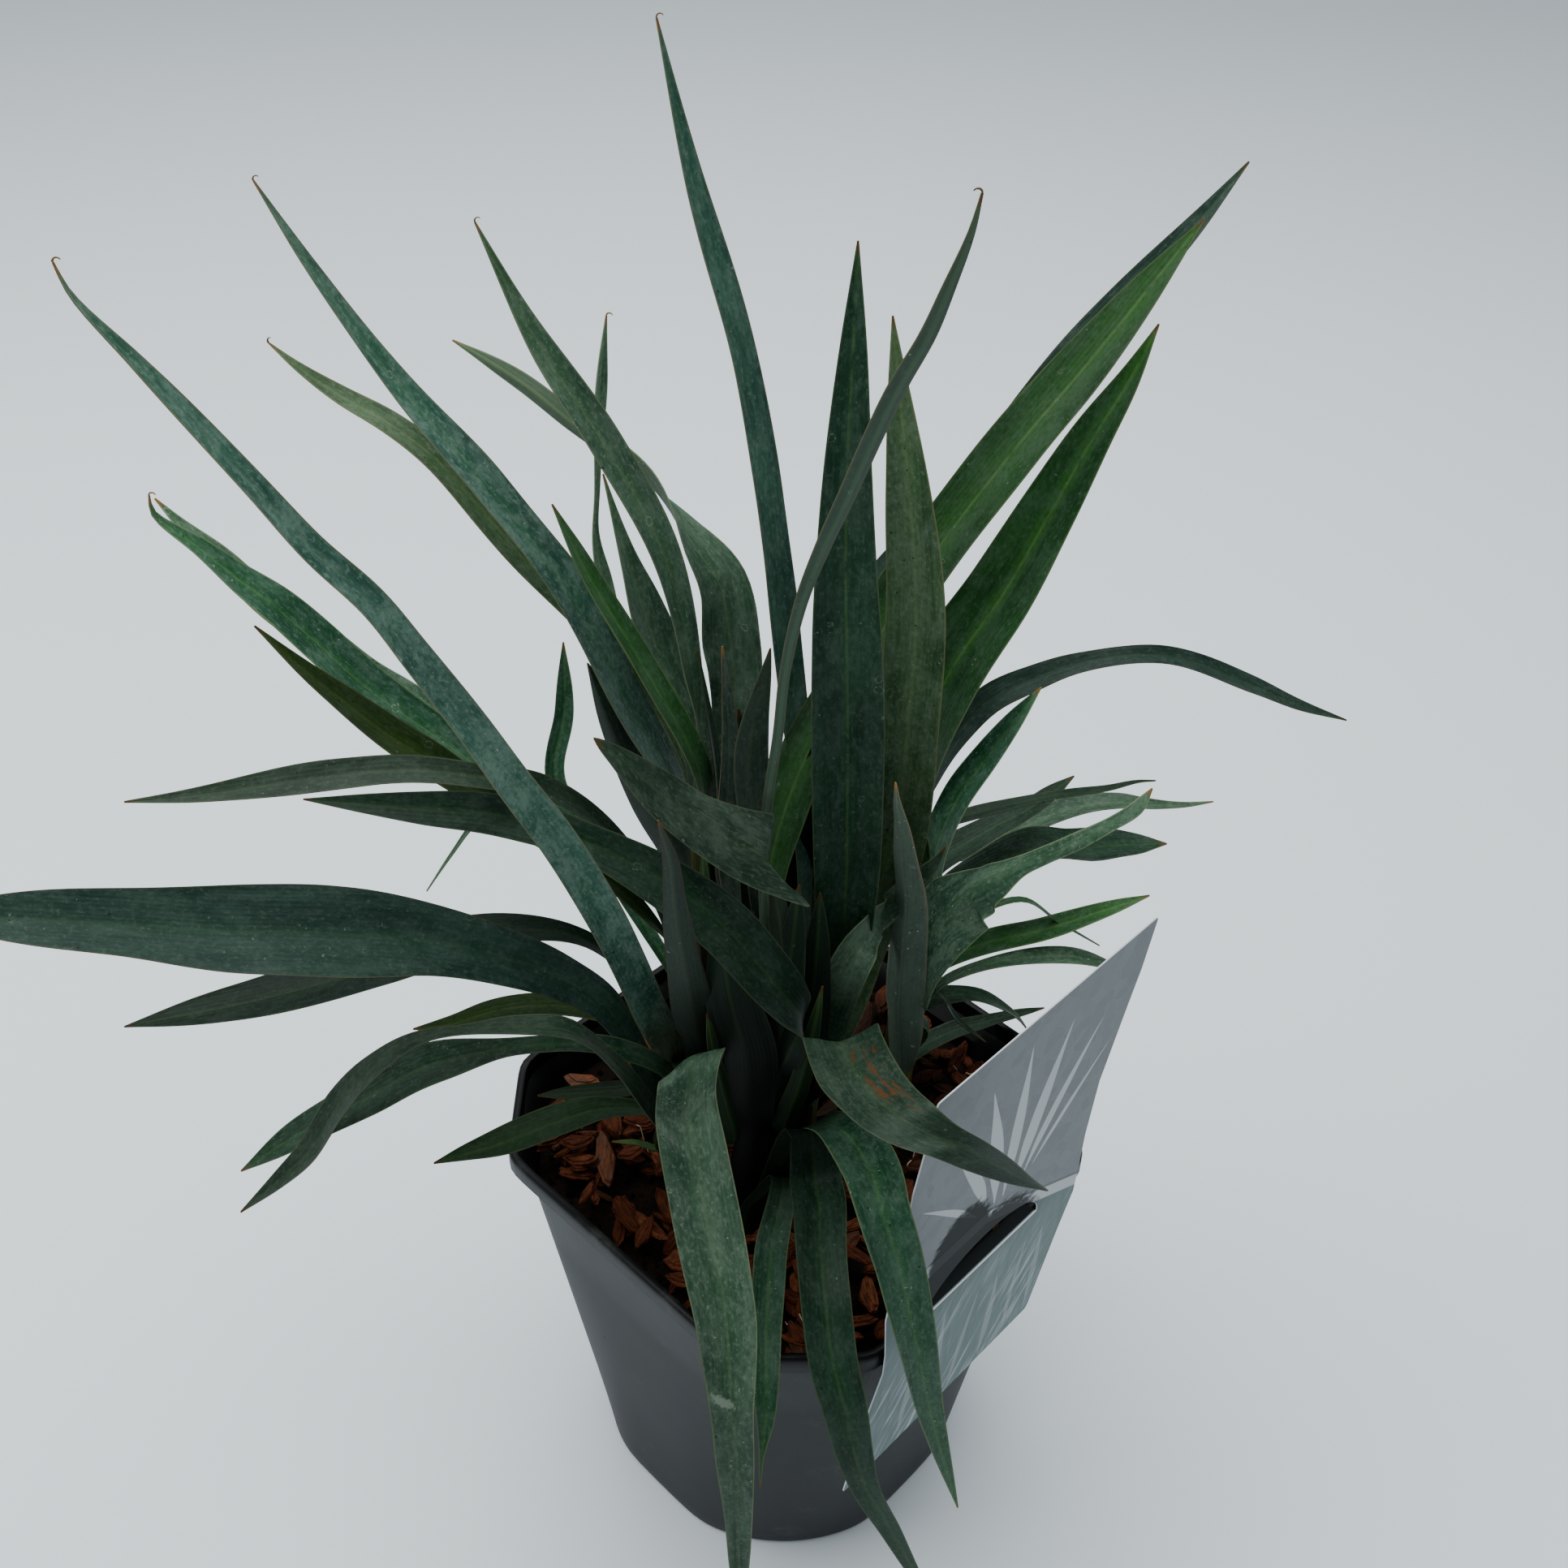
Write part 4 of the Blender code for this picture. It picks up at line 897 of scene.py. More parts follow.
            ((-39, -92, 221.5), (-29, -90.5, 219), (-19, -92, 221.5)),
            ((-36, -102, 215), (-26, -100, 212.5), (-17, -102, 215)),
            ((-33, -110.5, 207), (-24, -109.5, 203.5), (-15.5, -110.5, 207)),
            ((-30.5, -119, 197), (-23, -117.5, 194.5), (-15.5, -119, 197)),
            ((-28.5, -125.5, 187), (-22, -124, 184.5), (-16, -125.5, 187)),
            ((-26.5, -132, 169.5), (-20.5, -130, 167), (-15.5, -132, 169.5)),
            ((-24, -136, 149.5), (-20, -134, 146), (-15.5, -136, 149)),
            ((-22, -138.5, 122), (-19, -136.5, 119), (-16, -138.5, 122)),
            ((-19.5, -139, 99), (-18, -137.5, 95.5), (-17, -139, 99))],
        tip=(-18, -138, 77)),
    dict(name="far_left", shoot="left", foot=(208, 215), lean=195, finish="blueGrey",
        roll=(-70, -75, -70, -60, -40, -20), widths=(13, 12, 11.5, 11.5, 11, 10, 9, 8, 7, 5.5, 0.5),
        route=[(-41, -14, 206), (-50, -22, 244), (-55, -27, 267), (-61, -32, 291), (-72, -37, 323),
            (-82, -41, 346), (-91, -44, 367), (-102, -48, 391), (-110, -51, 408), (-121, -54, 424),
            (-131, -57, 442), (-142, -59, 460), (-149, -60, 471), (-158, -61, 485), (-160, -61, 492)]),
    dict(name="left_arc_upper", shoot="left", foot=(218, 80), lean=190, finish="greyGreen",
        roll=(0, -20, -25, -25), widths=(4, 4.5, 5.5, 7, 8, 8, 8, 9, 9.5, 5.5, 0.5),
        route=[(-43, -3, 258), (-60, -3, 296), (-78, -8, 318), (-95, -18, 330), (-113, -23, 336),
            (-131, -27, 337), (-168, -34, 335), (-186, -37, 335)]),
    dict(name="big_left", shoot="left", foot=(172, 225), lean=200, finish="blueGrey",
        roll=(-70, -60, -30, -25), widths=(8.5, 9, 9, 12, 16, 20, 26, 26, 20, 14.5, 0.5),
        route=[(-49, -20, 205), (-63, -24, 246), (-76, -27, 261), (-91, -33, 275), (-110, -40, 288),
            (-135, -49, 299), (-161, -58, 308), (-185, -67, 319), (-208, -75, 328), (-228, -82, 336)]),
    dict(name="left_below", shoot="left", foot=(204, 128), lean=185, finish="deep",
        roll=(0, 0, -10, -15), widths=(6, 6, 6.5, 8, 13, 18.5, 19, 18.5, 15, 9.5, 0.5),
        route=[(-50, -6, 231), (-70, -8, 258), (-93, -10, 263), (-128, -14, 253), (-168, -18, 241),
            (-212, -22, 232)]),
    dict(name="left_brown_tip", shoot="left", foot=(184, 208), lean=190, finish="olive",
        widths=(3.5, 4, 5, 7, 8.5, 10, 10, 10, 9.5, 7, 0.5),
        route=[(-50, -12, 219), (-60, -13, 228), (-75, -14, 234), (-89, -16, 236), (-100, -18, 235),
            (-111, -20, 232), (-123, -22, 232)]),
    dict(name="left_drooping", shoot="left", foot=(190, 255), lean=200, finish="deep",
        roll=(-60, -60, -20, -10, -10), widths=(5.5, 5.5, 5.5, 6.5, 5.5, 6.5, 13.5, 15, 13, 9.5, 0.5),
        route=[(-45, -29, 223), (-64, -34, 239), (-88, -39, 243), (-106, -44, 243), (-117, -46, 240),
            (-132, -50, 232), (-153, -56, 222), (-171, -60, 210)]),
    dict(name="left_twisted", shoot="left", foot=(162, 262), lean=205, finish="greyGreen",
        roll=(-60, -50, 10, 0, -20), widths=(4.5, 5.5, 7, 7.5, 8.5, 11, 4.5, 8.5, 11.5, 7.5, 0.5),
        route=[(-43, -28, 185), (-48, -34, 207), (-59, -42, 239), (-71, -45, 256), (-85, -47, 260),
            (-98, -48, 260), (-114, -51, 259), (-129, -55, 249), (-138, -59, 239), (-148, -64, 224),
            (-157, -68, 216), (-169, -72, 206)]),
    dict(name="left_low_bright", shoot="left", foot=(160, 165), lean=190, finish="bright",
        widths=(2.5, 3, 3.5, 4.5, 5, 6, 7.5, 7.5, 6.5, 4.5, 0.5),
        route=[(-49, -9, 182), (-50, -10, 191), (-61, -12, 192), (-72, -14, 193), (-87, -16, 194)]),
    dict(name="left_low_broad", shoot="left", foot=(155, 215), lean=205, finish="bright",
        widths=(5, 5, 5, 5, 7, 10, 13, 13.5, 12, 7, 0.5),
        route=[(-48, -19, 172), (-47, -21, 191), (-64, -25, 198), (-76, -30, 199), (-97, -39, 197),
            (-108, -44, 198), (-116, -48, 199)]),
    # back shoot
    dict(name="upper_left_long", shoot="back", foot=(278, 180), lean=165, finish="blueGrey",
        roll=(0, -20, -20), widths=(12.5, 14.5, 17, 15.5, 14.5, 12, 12, 9.5, 6.5, 4, 0.5),
        route=[(-41, 13, 300), (-56, 17, 330), (-72, 21, 367), (-93, 26, 397), (-115, 32, 423),
            (-135, 38, 452), (-148, 41, 475)]),
    dict(name="upper_left_pale", shoot="back", foot=(236, 95), lean=160, finish="pale",
        roll=(0, -15, -15), widths=(4, 5, 6, 8, 9.5, 11, 11, 11, 9, 6.5, 0.5),
        route=[(-40, 33, 294), (-64, 33, 343), (-87, 33, 372), (-108, 39, 397), (-121, 43, 406),
            (-135, 48, 412), (-146, 52, 418), (-155, 56, 424)]),
    dict(name="upper_left_inner", shoot="back", foot=(290, 255), lean=155, finish="greyGreen",
        roll=(0, -15, -20), widths=(5, 5.5, 7, 8.5, 10, 11, 11.5, 11, 9, 4.5, 0.5),
        route=[(-35, 8, 330), (-44, 14, 382), (-60, 20, 413), (-78, 29, 439), (-93, 37, 468)]),
    dict(name="upper_left_twist", shoot="back", foot=(285, 25), lean=150, finish="greyGreen",
        roll=(0, -30, -50, 10, 80, 110, 110), widths=(6.5, 8.5, 12.5, 17, 18, 17.5, 13.5, 8, 6.5, 5, 0.5),
        route=[(-24, 23, 332), (-26, 26, 350), (-29, 30, 364), (-37, 34, 375), (-49, 43, 389),
            (-73, 57, 402), (-85, 65, 408), (-97, 73, 412), (-108, 80, 415)]),
    dict(name="back_thin", shoot="back", foot=(222, 80), lean=140, finish="greyGreen",
        widths=(2.5, 3, 3.5, 5, 6, 7, 7, 2.5, 3, 5, 0.5),
        route=[(-38, 34, 262), (-50, 42, 294), (-63, 56, 336), (-65, 58, 347), (-67, 59, 362),
            (-66, 59, 378), (-65, 58, 396), (-63, 57, 419), (-61, 56, 435)]),
    dict(name="back_broad", shoot="back", foot=(270, 100), lean=145, finish="greyGreen",
        widths=(6.5, 7.5, 11.5, 16, 18.5, 19.5, 17.5, 13.5, 7.5, 3.5, 0.5),
        route=[(-36, 22, 312), (-47, 27, 342), (-56, 32, 372), (-62, 36, 396)]),
    dict(name="left_bright", shoot="back", foot=(256, 260), lean=160, finish="bright",
        widths=(4, 4.5, 6, 8.5, 11, 11, 11, 10.5, 9.5, 7, 0.5),
        route=[(-33, 0, 290), (-34, -5, 322), (-50, -3, 358), (-65, 1, 386), (-73, 4, 404)]),
    dict(name="left_pair_upper", shoot="back", foot=(226, 180), lean=180, finish="greyGreen",
        roll=(0, -20, -20), widths=(4.5, 5, 6, 8, 10.5, 12, 13, 13, 11, 8.5, 0.5),
        route=[(-44, 13, 247), (-54, 21, 264), (-98, 26, 298), (-110, 26, 310), (-121, 26, 322),
            (-134, 26, 332), (-146, 26, 345), (-159, 26, 357), (-170, 26, 372), (-178, 26, 382),
            (-184, 26, 391)]),
    dict(name="left_pair_lower", shoot="back", foot=(216, 240), lean=185, finish="deep",
        roll=(0, -20, -20), widths=(5.5, 6, 7, 9, 11.5, 13.5, 15, 16, 14, 7.5, 0.5),
        route=[(-40, 6, 244), (-54, 12, 267), (-92, 14, 299), (-106, 13, 314), (-121, 12, 329),
            (-131, 11, 340), (-142, 10, 355), (-152, 8, 369), (-160, 8, 377), (-168, 7, 387),
            (-178, 7, 397), (-178, 7, 403)]),
    dict(name="left_olive", shoot="back", foot=(204, 262), lean=190, finish="olive",
        roll=(0, -20, -20), widths=(4.5, 5, 6.5, 8, 10, 11.5, 12, 13.5, 12, 7, 0.5),
        route=[(-40, 2, 240), (-60, 1, 272), (-97, 0, 307), (-110, -2, 321), (-123, -4, 334),
            (-135, -7, 350), (-142, -8, 359), (-152, -9, 373)]),
    dict(name="left_stub", shoot="back", foot=(190, 150), lean=150, finish="greyGreen",
        roll=(-60, -60), widths=(3, 3.5, 4.5, 5.5, 6.5, 7, 7, 6.5, 6.5, 5, 0.5),
        route=[(-60, 30, 245), (-81, 40, 282), (-77, 39, 312), (-76, 38, 338)]),
    dict(name="dark_left", shoot="back", foot=(196, 145), lean=160, finish="deep",
        widths=(6, 6.5, 9, 11.5, 14, 16.5, 18, 18, 16.5, 11.5, 0.5),
        route=[(-37, 20, 232), (-41, 22, 262), (-54, 23, 293), (-63, 25, 320), (-68, 27, 338)]),
]

# Little leaves that stand among the others, too slight to have a solid of their own
smallLeaves = [
    dict(name="left_hanging", shoot="back", foot=(214, 215), wide=6, lean=190, finish="deep",
        route=[(-48, 7, 262), (-72, 10, 296), (-88, 10, 303), (-101, 8, 293), (-111, 8, 278),
            (-120, 8, 263)]),
    dict(name="right_thread", shoot="right", foot=(196, 20), wide=3, lean=10, finish="deep",
        route=[(50, 27, 226), (62, 28, 239), (75, 31, 241), (89, 33, 229), (106, 36, 215)]),
    dict(name="rim_hanging", shoot="right", foot=(190, 340), wide=4, lean=350, finish="deep",
        route=[(45, 22, 207), (49, 21, 206), (55, 18, 197), (66, 14, 189)]),
    dict(name="dark_droop", shoot="left", foot=(196, 330), wide=8, lean=340, finish="deep",
        route=[(-30, -14, 211), (-24, -16, 216), (-13, -22, 210), (-9, -24, 205)]),
    dict(name="dark_back", shoot="back", foot=(272, 300), wide=6, lean=160, finish="deep",
        route=[(-29, 0, 300), (-29, 0, 316), (-32, 4, 338), (-35, 8, 356)]),
    dict(name="core_broad", shoot="main", foot=(196, 262), lean=262, finish="olive",
        widths=(12, 14, 16, 18, 19, 19, 18, 15, 11, 6, 0.5),
        route=[(-18, -39, 222), (-19, -39, 240), (-23, -38, 257), (-26, -37, 276), (-28, -35, 297)]),
    dict(name="core_inner", shoot="main", foot=(200, 300), lean=275, finish="deep",
        widths=(9, 11, 12, 13, 13, 13, 12, 10, 8, 5, 0.5),
        route=[(-9, -36, 222), (-8, -32, 251), (-6, -29, 279), (-5, -28, 300)]),
    dict(name="core_back", shoot="centre", foot=(184, 250), lean=262, finish="deep",
        widths=(8, 10, 12, 13, 13, 13, 12, 10, 8, 5, 0.5),
        route=[(-1, -26, 214), (1, -22, 240), (2, -20, 266), (2, -18, 288)]),
    dict(name="core_right", shoot="centre", foot=(172, 262), lean=270, finish="bright",
        widths=(5, 6.5, 8, 8, 8, 8, 7, 6, 5, 3, 0.5),
        route=[(-6, -34, 200), (-2, -38, 226), (1, -38, 250), (3, -37, 268)]),
    dict(name="core_left", shoot="left", foot=(172, 320), lean=290, finish="bright",
        widths=(5, 6, 7, 7, 7, 7, 6, 5, 4, 3, 0.5),
        route=[(-22, -34, 193), (-25, -38, 218), (-28, -38, 235), (-31, -36, 255)]),
    dict(name="core_behind", shoot="centre", foot=(200, 80), lean=92, finish="deep",
        widths=(9, 13, 16, 18, 18, 18, 17, 15, 12, 7, 0.5),
        route=[(-3, 4, 232), (-2, 6, 262), (-1, 7, 295), (1, 8, 330)]),
    dict(name="core_far", shoot="main", foot=(236, 100), lean=100, finish="deep",
        widths=(8, 12, 14, 15, 15, 15, 14, 12, 9, 6, 0.5),
        route=[(-16, 2, 258), (-18, 5, 282), (-20, 6, 308), (-23, 8, 336)]),
    dict(name="low_sprig", shoot="left", foot=(156, 195), wide=3, lean=195, finish="bright",
        route=[(-50, -14, 164), (-55, -16, 170), (-63, -18, 173)]),
]

leafForm = {
    "ringSpacing": 2.8,
    "fewestRings": 24,
    "halfCells": 7,
    "midribThick": 1.0,
    "edgeThick": 0.32,
    "tipWidth": 0.5,
    "footShare": 0.42,
    "footWidth": 6.5,
    "widest": 0.48,
    "keel": 13.0,
    "keelFrom": 0.25,
    "turned": 0.3,
    "taper": 1.7,
    "gap": 0.4,
    "sheathLength": 48.0,
    "sheathWrap": 105.0,
    "sheathBottom": 150.5,
    "clasp": 16.0,
    "spanSamples": 14,
    "foldSamples": 7,
    "hookRadius": 0.9,
    "hookTurn": 160.0,
    "hookRings": 9,
}
skinOffset = leafForm["gap"] + 0.5 * leafForm["midribThick"]
# Leaves whose dry tip curls over, and the side that it curls to
hooks = {
    "tall_back": 1,
    "narrow_arch": -1,
    "far_left": 1,
    "upper_left_long": 1,
    "upper_left_inner": 1,
    "upper_left_pale": 1,
    "left_pair_lower": 1,
    "back_thin": 1,
}


def valueAlong(values, s):
    place = s * (len(values) - 1)
    i = min(int(place), len(values) - 2)
    return mix(values[i], values[i + 1], place - i)


def curveAlong(values, s):
    # a smooth curve through the values
    place = s * (len(values) - 1)
    i = min(int(place), len(values) - 2)
    t = place - i
    b, c = values[i], values[i + 1]
    a = values[i - 1] if i > 0 else 2.0 * b - c
    d = values[i + 2] if i < len(values) - 2 else 2.0 * c - b
    bend = (2.0 * a - 5.0 * b + 4.0 * c - d) * t * t + (3.0 * b - 3.0 * c + d - a) * t ** 3
    return max(0.4, b + 0.5 * ((c - a) * t + bend))


def leafWidth(leaf, s):
    if "widths" in leaf:
        return curveAlong(leaf["widths"], s)
    widest = leafForm["widest"]
    foot = min(leafForm["footShare"] * leaf["wide"], leafForm["footWidth"])
    if s < widest:
        return mix(foot, leaf["wide"], 0.5 - 0.5 * math.cos(math.pi * s / widest))
    return mix(leaf["wide"], leafForm["tipWidth"], ((s - widest) / (1.0 - widest)) ** leafForm["taper"])


def leafLine(leaf):
    # the midrib from its foot on the shoot, which it leaves going upward
    shoot = shoots[leaf["shoot"]]
    height, azimuth = leaf["foot"]
    foot = shootAt(shoot, height)[0] + around(azimuth) * (shootReach(shoot, height, azimuth) + skinOffset)
    knots = [foot] + [Vector(point) for point in leaf["route"]]
    start = foot - Vector((0.0, 0.0, 0.7 * (knots[1] - foot).length))
    line = splinePoints(knots, leafForm["spanSamples"], start)
    return line[:-1] if leaf["name"] in hooks else line


def evenPoints(line, steps):
    # places at even steps along a line: the point, the way ahead, and how far along it is
    lengths = lengthsAlong(line)
    places = []
    span = 0
    for i in range(steps + 1):
        want = lengths[-1] * i / steps
        while span < len(line) - 2 and lengths[span + 1] < want:
            span += 1
        t = (want - lengths[span]) / (lengths[span + 1] - lengths[span])
        before = line[max(0, span - 1)]
        after = line[min(len(line) - 1, span + 2)]
        places.append((line[span].lerp(line[span + 1], t), (after - before).normalized(), want))
    return places


class LeafSkin:
    # collects the rings of one leaf, each an upper and a lower row from edge to edge
    def __init__(self):
        self.cells = leafForm["halfCells"]
        self.points = []
        self.fields = {"side": [], "along": [], "share": [], "fromEdge": [], "upper": []}
        self.rings = 0

    def add(self, upper, lower, half, along, share):
        for row, face in ((upper, 1.0), (lower[::-1], 0.0)):
            for i, point in enumerate(row):
                u = i / self.cells - 1.0 if face else 1.0 - i / self.cells
                self.points.append(point)
                marks = (u * half, along, share, half * (1.0 - abs(u)), face)
                for field, value in zip(self.fields.values(), marks):
                    field.append(value)
        self.rings += 1

    def mesh(self, name):
        faces = loftFaces(self.rings, 2 * (2 * self.cells + 1))
        return newMesh(name, self.points, faces, self.fields, sharp=70.0)


def claspRows(shoot, z, azimuth, wrap, offset):
    # both rows of a ring that hugs the shoot, from edge to edge
    upper = []
    lower = []
    cells = leafForm["halfCells"]
    centre = shootAt(shoot, z)[0]
    for j in range(-cells, cells + 1):
        u = j / cells
        turn = azimuth - u * wrap
        away = shootReach(shoot, z, turn) + offset - 0.35 * abs(u) ** 3
        thick = mix(leafForm["midribThick"], leafForm["edgeThick"], abs(u) ** 0.6)
        upper.append(centre + around(turn) * (away - 0.5 * thick))
        lower.append(centre + around(turn) * (away + 0.5 * thick))
    return upper, lower


def edgedRows(centre, plus, minus, up, s, along, seed):
    # both rows of a ring through its midrib and its two edges
    cells = leafForm["halfCells"]
    half = 0.5 * (plus - minus).length
    upper = []
    lower = []
    for j in range(-cells, cells + 1):
        u = j / cells
        edge = plus - centre if j > 0 else minus - centre
        flat = edge - up * edge.dot(up)
        rise = (math.sqrt(u * u + 0.02) - 0.1414) / 0.8686
        wave = 0.05 * half * abs(u) * noise.noise(Vector((along * 0.035, seed * 7.3, 4.0 * u)))
        middle = centre + flat * abs(u) + up * (edge.dot(up) * rise + wave)
        thick = mix(leafForm["edgeThick"], leafForm["midribThick"] * (1.0 - 0.55 * s), (1.0 - abs(u)) ** 2.2)
        thick = min(thick, 0.25 + 0.5 * half)
        upper.append(middle + up * (0.5 * thick - 0.12 * max(0.0, 1.0 - 7.0 * abs(u))))
        lower.append(middle - up * 0.5 * thick)
    return upper, lower


def plainRings(leaf, seed):
    # each ring of a leaf: its middle, the way ahead, both rows, half its width, and how far along it is
    azimuth = leaf["foot"][1]
    swing = (leaf["lean"] - azimuth + 180.0) % 360.0 - 180.0
    line = leafLine(leaf)
    length = lengthsAlong(line)[-1]
    steps = max(leafForm["fewestRings"], round(length / leafForm["ringSpacing"]))
    for centre, ahead, along in evenPoints(line, steps):
        s = along / length
        side = levelSide(azimuth + swing * clamp01(s / leafForm["turned"]))
        side = (side - ahead * side.dot(ahead)).normalized()
        side = Quaternion(ahead, math.radians(valueAlong(leaf.get("roll", (0, 0)), s))) @ side
        up = side.cross(ahead)
        half = 0.5 * leafWidth(leaf, s)
        keel = math.radians(leaf.get("keel", leafForm["keel"])) * clamp01(s / leafForm["keelFrom"])
        out = side * (half * math.cos(keel))
        lift = up * (half * math.sin(keel))
        upper, lower = edgedRows(centre, centre + out + lift, centre - out + lift, up, s, along, seed)
        yield centre, ahead, upper, lower, half, along, s


def levelSide(azimuth):
    # the level direction to the right of an azimuth
    heading = math.radians(azimuth)
    return Vector((math.sin(heading), -math.cos(heading), 0.0))


def foldedLines(leaf):
    # the plus edge, midrib and minus edge of a folded leaf, from its route over the fold to its tip
    side = levelSide(leaf["foot"][1])
    route = [Vector(point) for point in leaf["route"]]
    rims = [[Vector(point) for point in station] for station in leaf["rims"]]
    spread = rims[0][0] - rims[0][2]
    footHalf = 0.5 * leafWidth(leaf, 0.0)
    stations = [(route[0] + side * footHalf, route[0], route[0] - side * footHalf)]
    for i, point in enumerate(route):
        t = (i + 1.0) / (len(route) + 1.0)
        turned = side.lerp(spread.normalized(), 0.6 * t).normalized()
        half = mix(footHalf, 0.35 * 0.5 * spread.length, t)
        stations.append((point + turned * half, point, point - turned * half))
    stations += rims
    tip = Vector(leaf["tip"])
    drawn = (rims[-1][0] - rims[-1][2]).normalized() * 0.5 * leafForm["tipWidth"]
    stations.append((tip + drawn, tip, tip - drawn))
    return [splinePoints([station[k] for station in stations], leafForm["foldSamples"]) for k in range(3)]


def foldedRings(leaf, seed):
    # the same for a leaf whose edges are given past its fold
    plus, line, minus = foldedLines(leaf)
    lengths = lengthsAlong(line)
    for i, (centre, along) in enumerate(zip(line, lengths)):
        ahead = (line[min(len(line) - 1, i + 1)] - line[max(0, i - 1)]).normalized()
        up = (plus[i] - minus[i]).cross(ahead).normalized()
        s = along / lengths[-1]
        upper, lower = edgedRows(centre, plus[i], minus[i], up, s, along, seed)
        yield centre, ahead, upper, lower, 0.5 * (plus[i] - minus[i]).length, along, s


def addSheath(skin, leaf, shoot, footReach):
    # the part under the foot that wraps the shoot
    height, azimuth = leaf["foot"]
    footWrap = math.degrees(0.5 * leafWidth(leaf, 0.0) / footReach)
    depth = height - max(leafForm["sheathBottom"], height - leafForm["sheathLength"])
    deepest = -0.25 if depth > 0.8 * leafForm["sheathLength"] else skinOffset
    rings = max(2, round(depth / 3.0))
    for ring in range(rings):
        t = 1.0 - ring / rings
        wrap = mix(footWrap, max(footWrap, leafForm["sheathWrap"]), smooth(0.0, 0.7, t))
        tuck = mix(skinOffset, deepest, smooth(0.35, 1.0, t))
        rows = claspRows(shoot, height - depth * t, azimuth, wrap, tuck)
        skin.add(*rows, math.radians(wrap) * footReach, -depth * t, 0.0)


def addHook(skin, centre, ahead, way, length):
    # the dry end of a leaf, curled over to one side
    axis = Vector((0.0, 1.0, 0.0)) * way
    axis = (axis - ahead * axis.dot(ahead)).normalized()
    middle = centre + axis.cross(ahead) * leafForm["hookRadius"]
    rings = leafForm["hookRings"]
    cells = leafForm["halfCells"]
    for ring in range(1, rings + 1):
        turn = Quaternion(axis, math.radians(leafForm["hookTurn"]) * ring / rings)
        spot = middle + turn @ (centre - middle)
        half = mix(0.3, 0.12, ring / rings)
        out = (spot - middle).normalized() * half * 0.7
        row = [spot + axis * (half * j / cells) for j in range(-cells, cells + 1)]
        skin.add([p + out for p in row], [p - out for p in row], half, length + 0.3 * ring, 1.0)


def leafMesh(leaf, seed):
    shoot = shoots[leaf["shoot"]]
    height, azimuth = leaf["foot"]
    footReach = shootReach(shoot, height, azimuth) + skinOffset
    skin = LeafSkin()
    addSheath(skin, leaf, shoot, footReach)
    rings = foldedRings if "rims" in leaf else plainRings
    for centre, ahead, upper, lower, half, along, s in rings(leaf, seed):
        hold = 1.0 - smooth(0.0, leafForm["clasp"], along)
        if hold > 0.0:
            # the foot comes away from the shoot little by little
            wrap = math.degrees(half / (shootReach(shoot, centre.z, azimuth) + skinOffset))
            inner, outer = claspRows(shoot, centre.z, azimuth, wrap, skinOffset)
            upper = [a.lerp(b, hold) for a, b in zip(upper, inner)]
            lower = [a.lerp(b, hold) for a, b in zip(lower, outer)]
        skin.add(upper, lower, half, along, s)
    if leaf["name"] in hooks:
        addHook(skin, centre, ahead, hooks[leaf["name"]], along)
    return skin.mesh("leaf_" + leaf["name"])


# Leaf finishes

leafColours = {
    "deep": dict(dark=(0.006, 0.028, 0.016), light=(0.018, 0.062, 0.034), heart=(0.020, 0.085, 0.026),
                 rib=(0.10, 0.19, 0.06), bloom=(0.075, 0.125, 0.105), under=(0.035, 0.070, 0.050),
                 margin=(0.11, 0.14, 0.07)),
    "bright": dict(dark=(0.009, 0.045, 0.012), light=(0.026, 0.095, 0.026), heart=(0.040, 0.150, 0.026),
                   rib=(0.15, 0.27, 0.08), bloom=(0.080, 0.140, 0.095), under=(0.045, 0.090, 0.050),
                   margin=(0.14, 0.18, 0.07)),
    "blueGrey": dict(dark=(0.014, 0.042, 0.036), light=(0.036, 0.085, 0.070), heart=(0.022, 0.085, 0.045),
                     rib=(0.09, 0.15, 0.09), bloom=(0.110, 0.165, 0.155), under=(0.060, 0.085, 0.070),
                     margin=(0.11, 0.10, 0.06)),
    "greyGreen": dict(dark=(0.015, 0.038, 0.026), light=(0.042, 0.082, 0.056), heart=(0.030, 0.080, 0.036),
                      rib=(0.13, 0.17, 0.09), bloom=(0.115, 0.155, 0.130), under=(0.060, 0.085, 0.065),
                      margin=(0.13, 0.15, 0.09)),
    "pale": dict(dark=(0.024, 0.060, 0.026), light=(0.070, 0.130, 0.062), heart=(0.085, 0.155, 0.065),
                 rib=(0.20, 0.25, 0.11), bloom=(0.15, 0.20, 0.15), under=(0.09, 0.12, 0.075),
                 margin=(0.20, 0.18, 0.09)),
    "purple": dict(dark=(0.012, 0.021, 0.018), light=(0.032, 0.052, 0.044), heart=(0.028, 0.050, 0.042),
                   rib=(0.070, 0.085, 0.070), bloom=(0.085, 0.110, 0.100), under=(0.042, 0.056, 0.050),
                   margin=(0.075, 0.050, 0.036)),
    "olive": dict(dark=(0.010, 0.036, 0.005), light=(0.034, 0.078, 0.012), heart=(0.050, 0.110, 0.012),
                  rib=(0.15, 0.20, 0.05), bloom=(0.07, 0.11, 0.06), under=(0.05, 0.08, 0.03),
                  margin=(0.15, 0.13, 0.05)),
}
leafSlots = {
    "deep": "leaf_deep_green",
    "bright": "leaf_bright_green",
    "blueGrey": "leaf_blue_grey",
    "greyGreen": "leaf_grey_green",
    "pale": "leaf_pale_green",
    "purple": "leaf_purple",
    "olive": "leaf_olive",
}
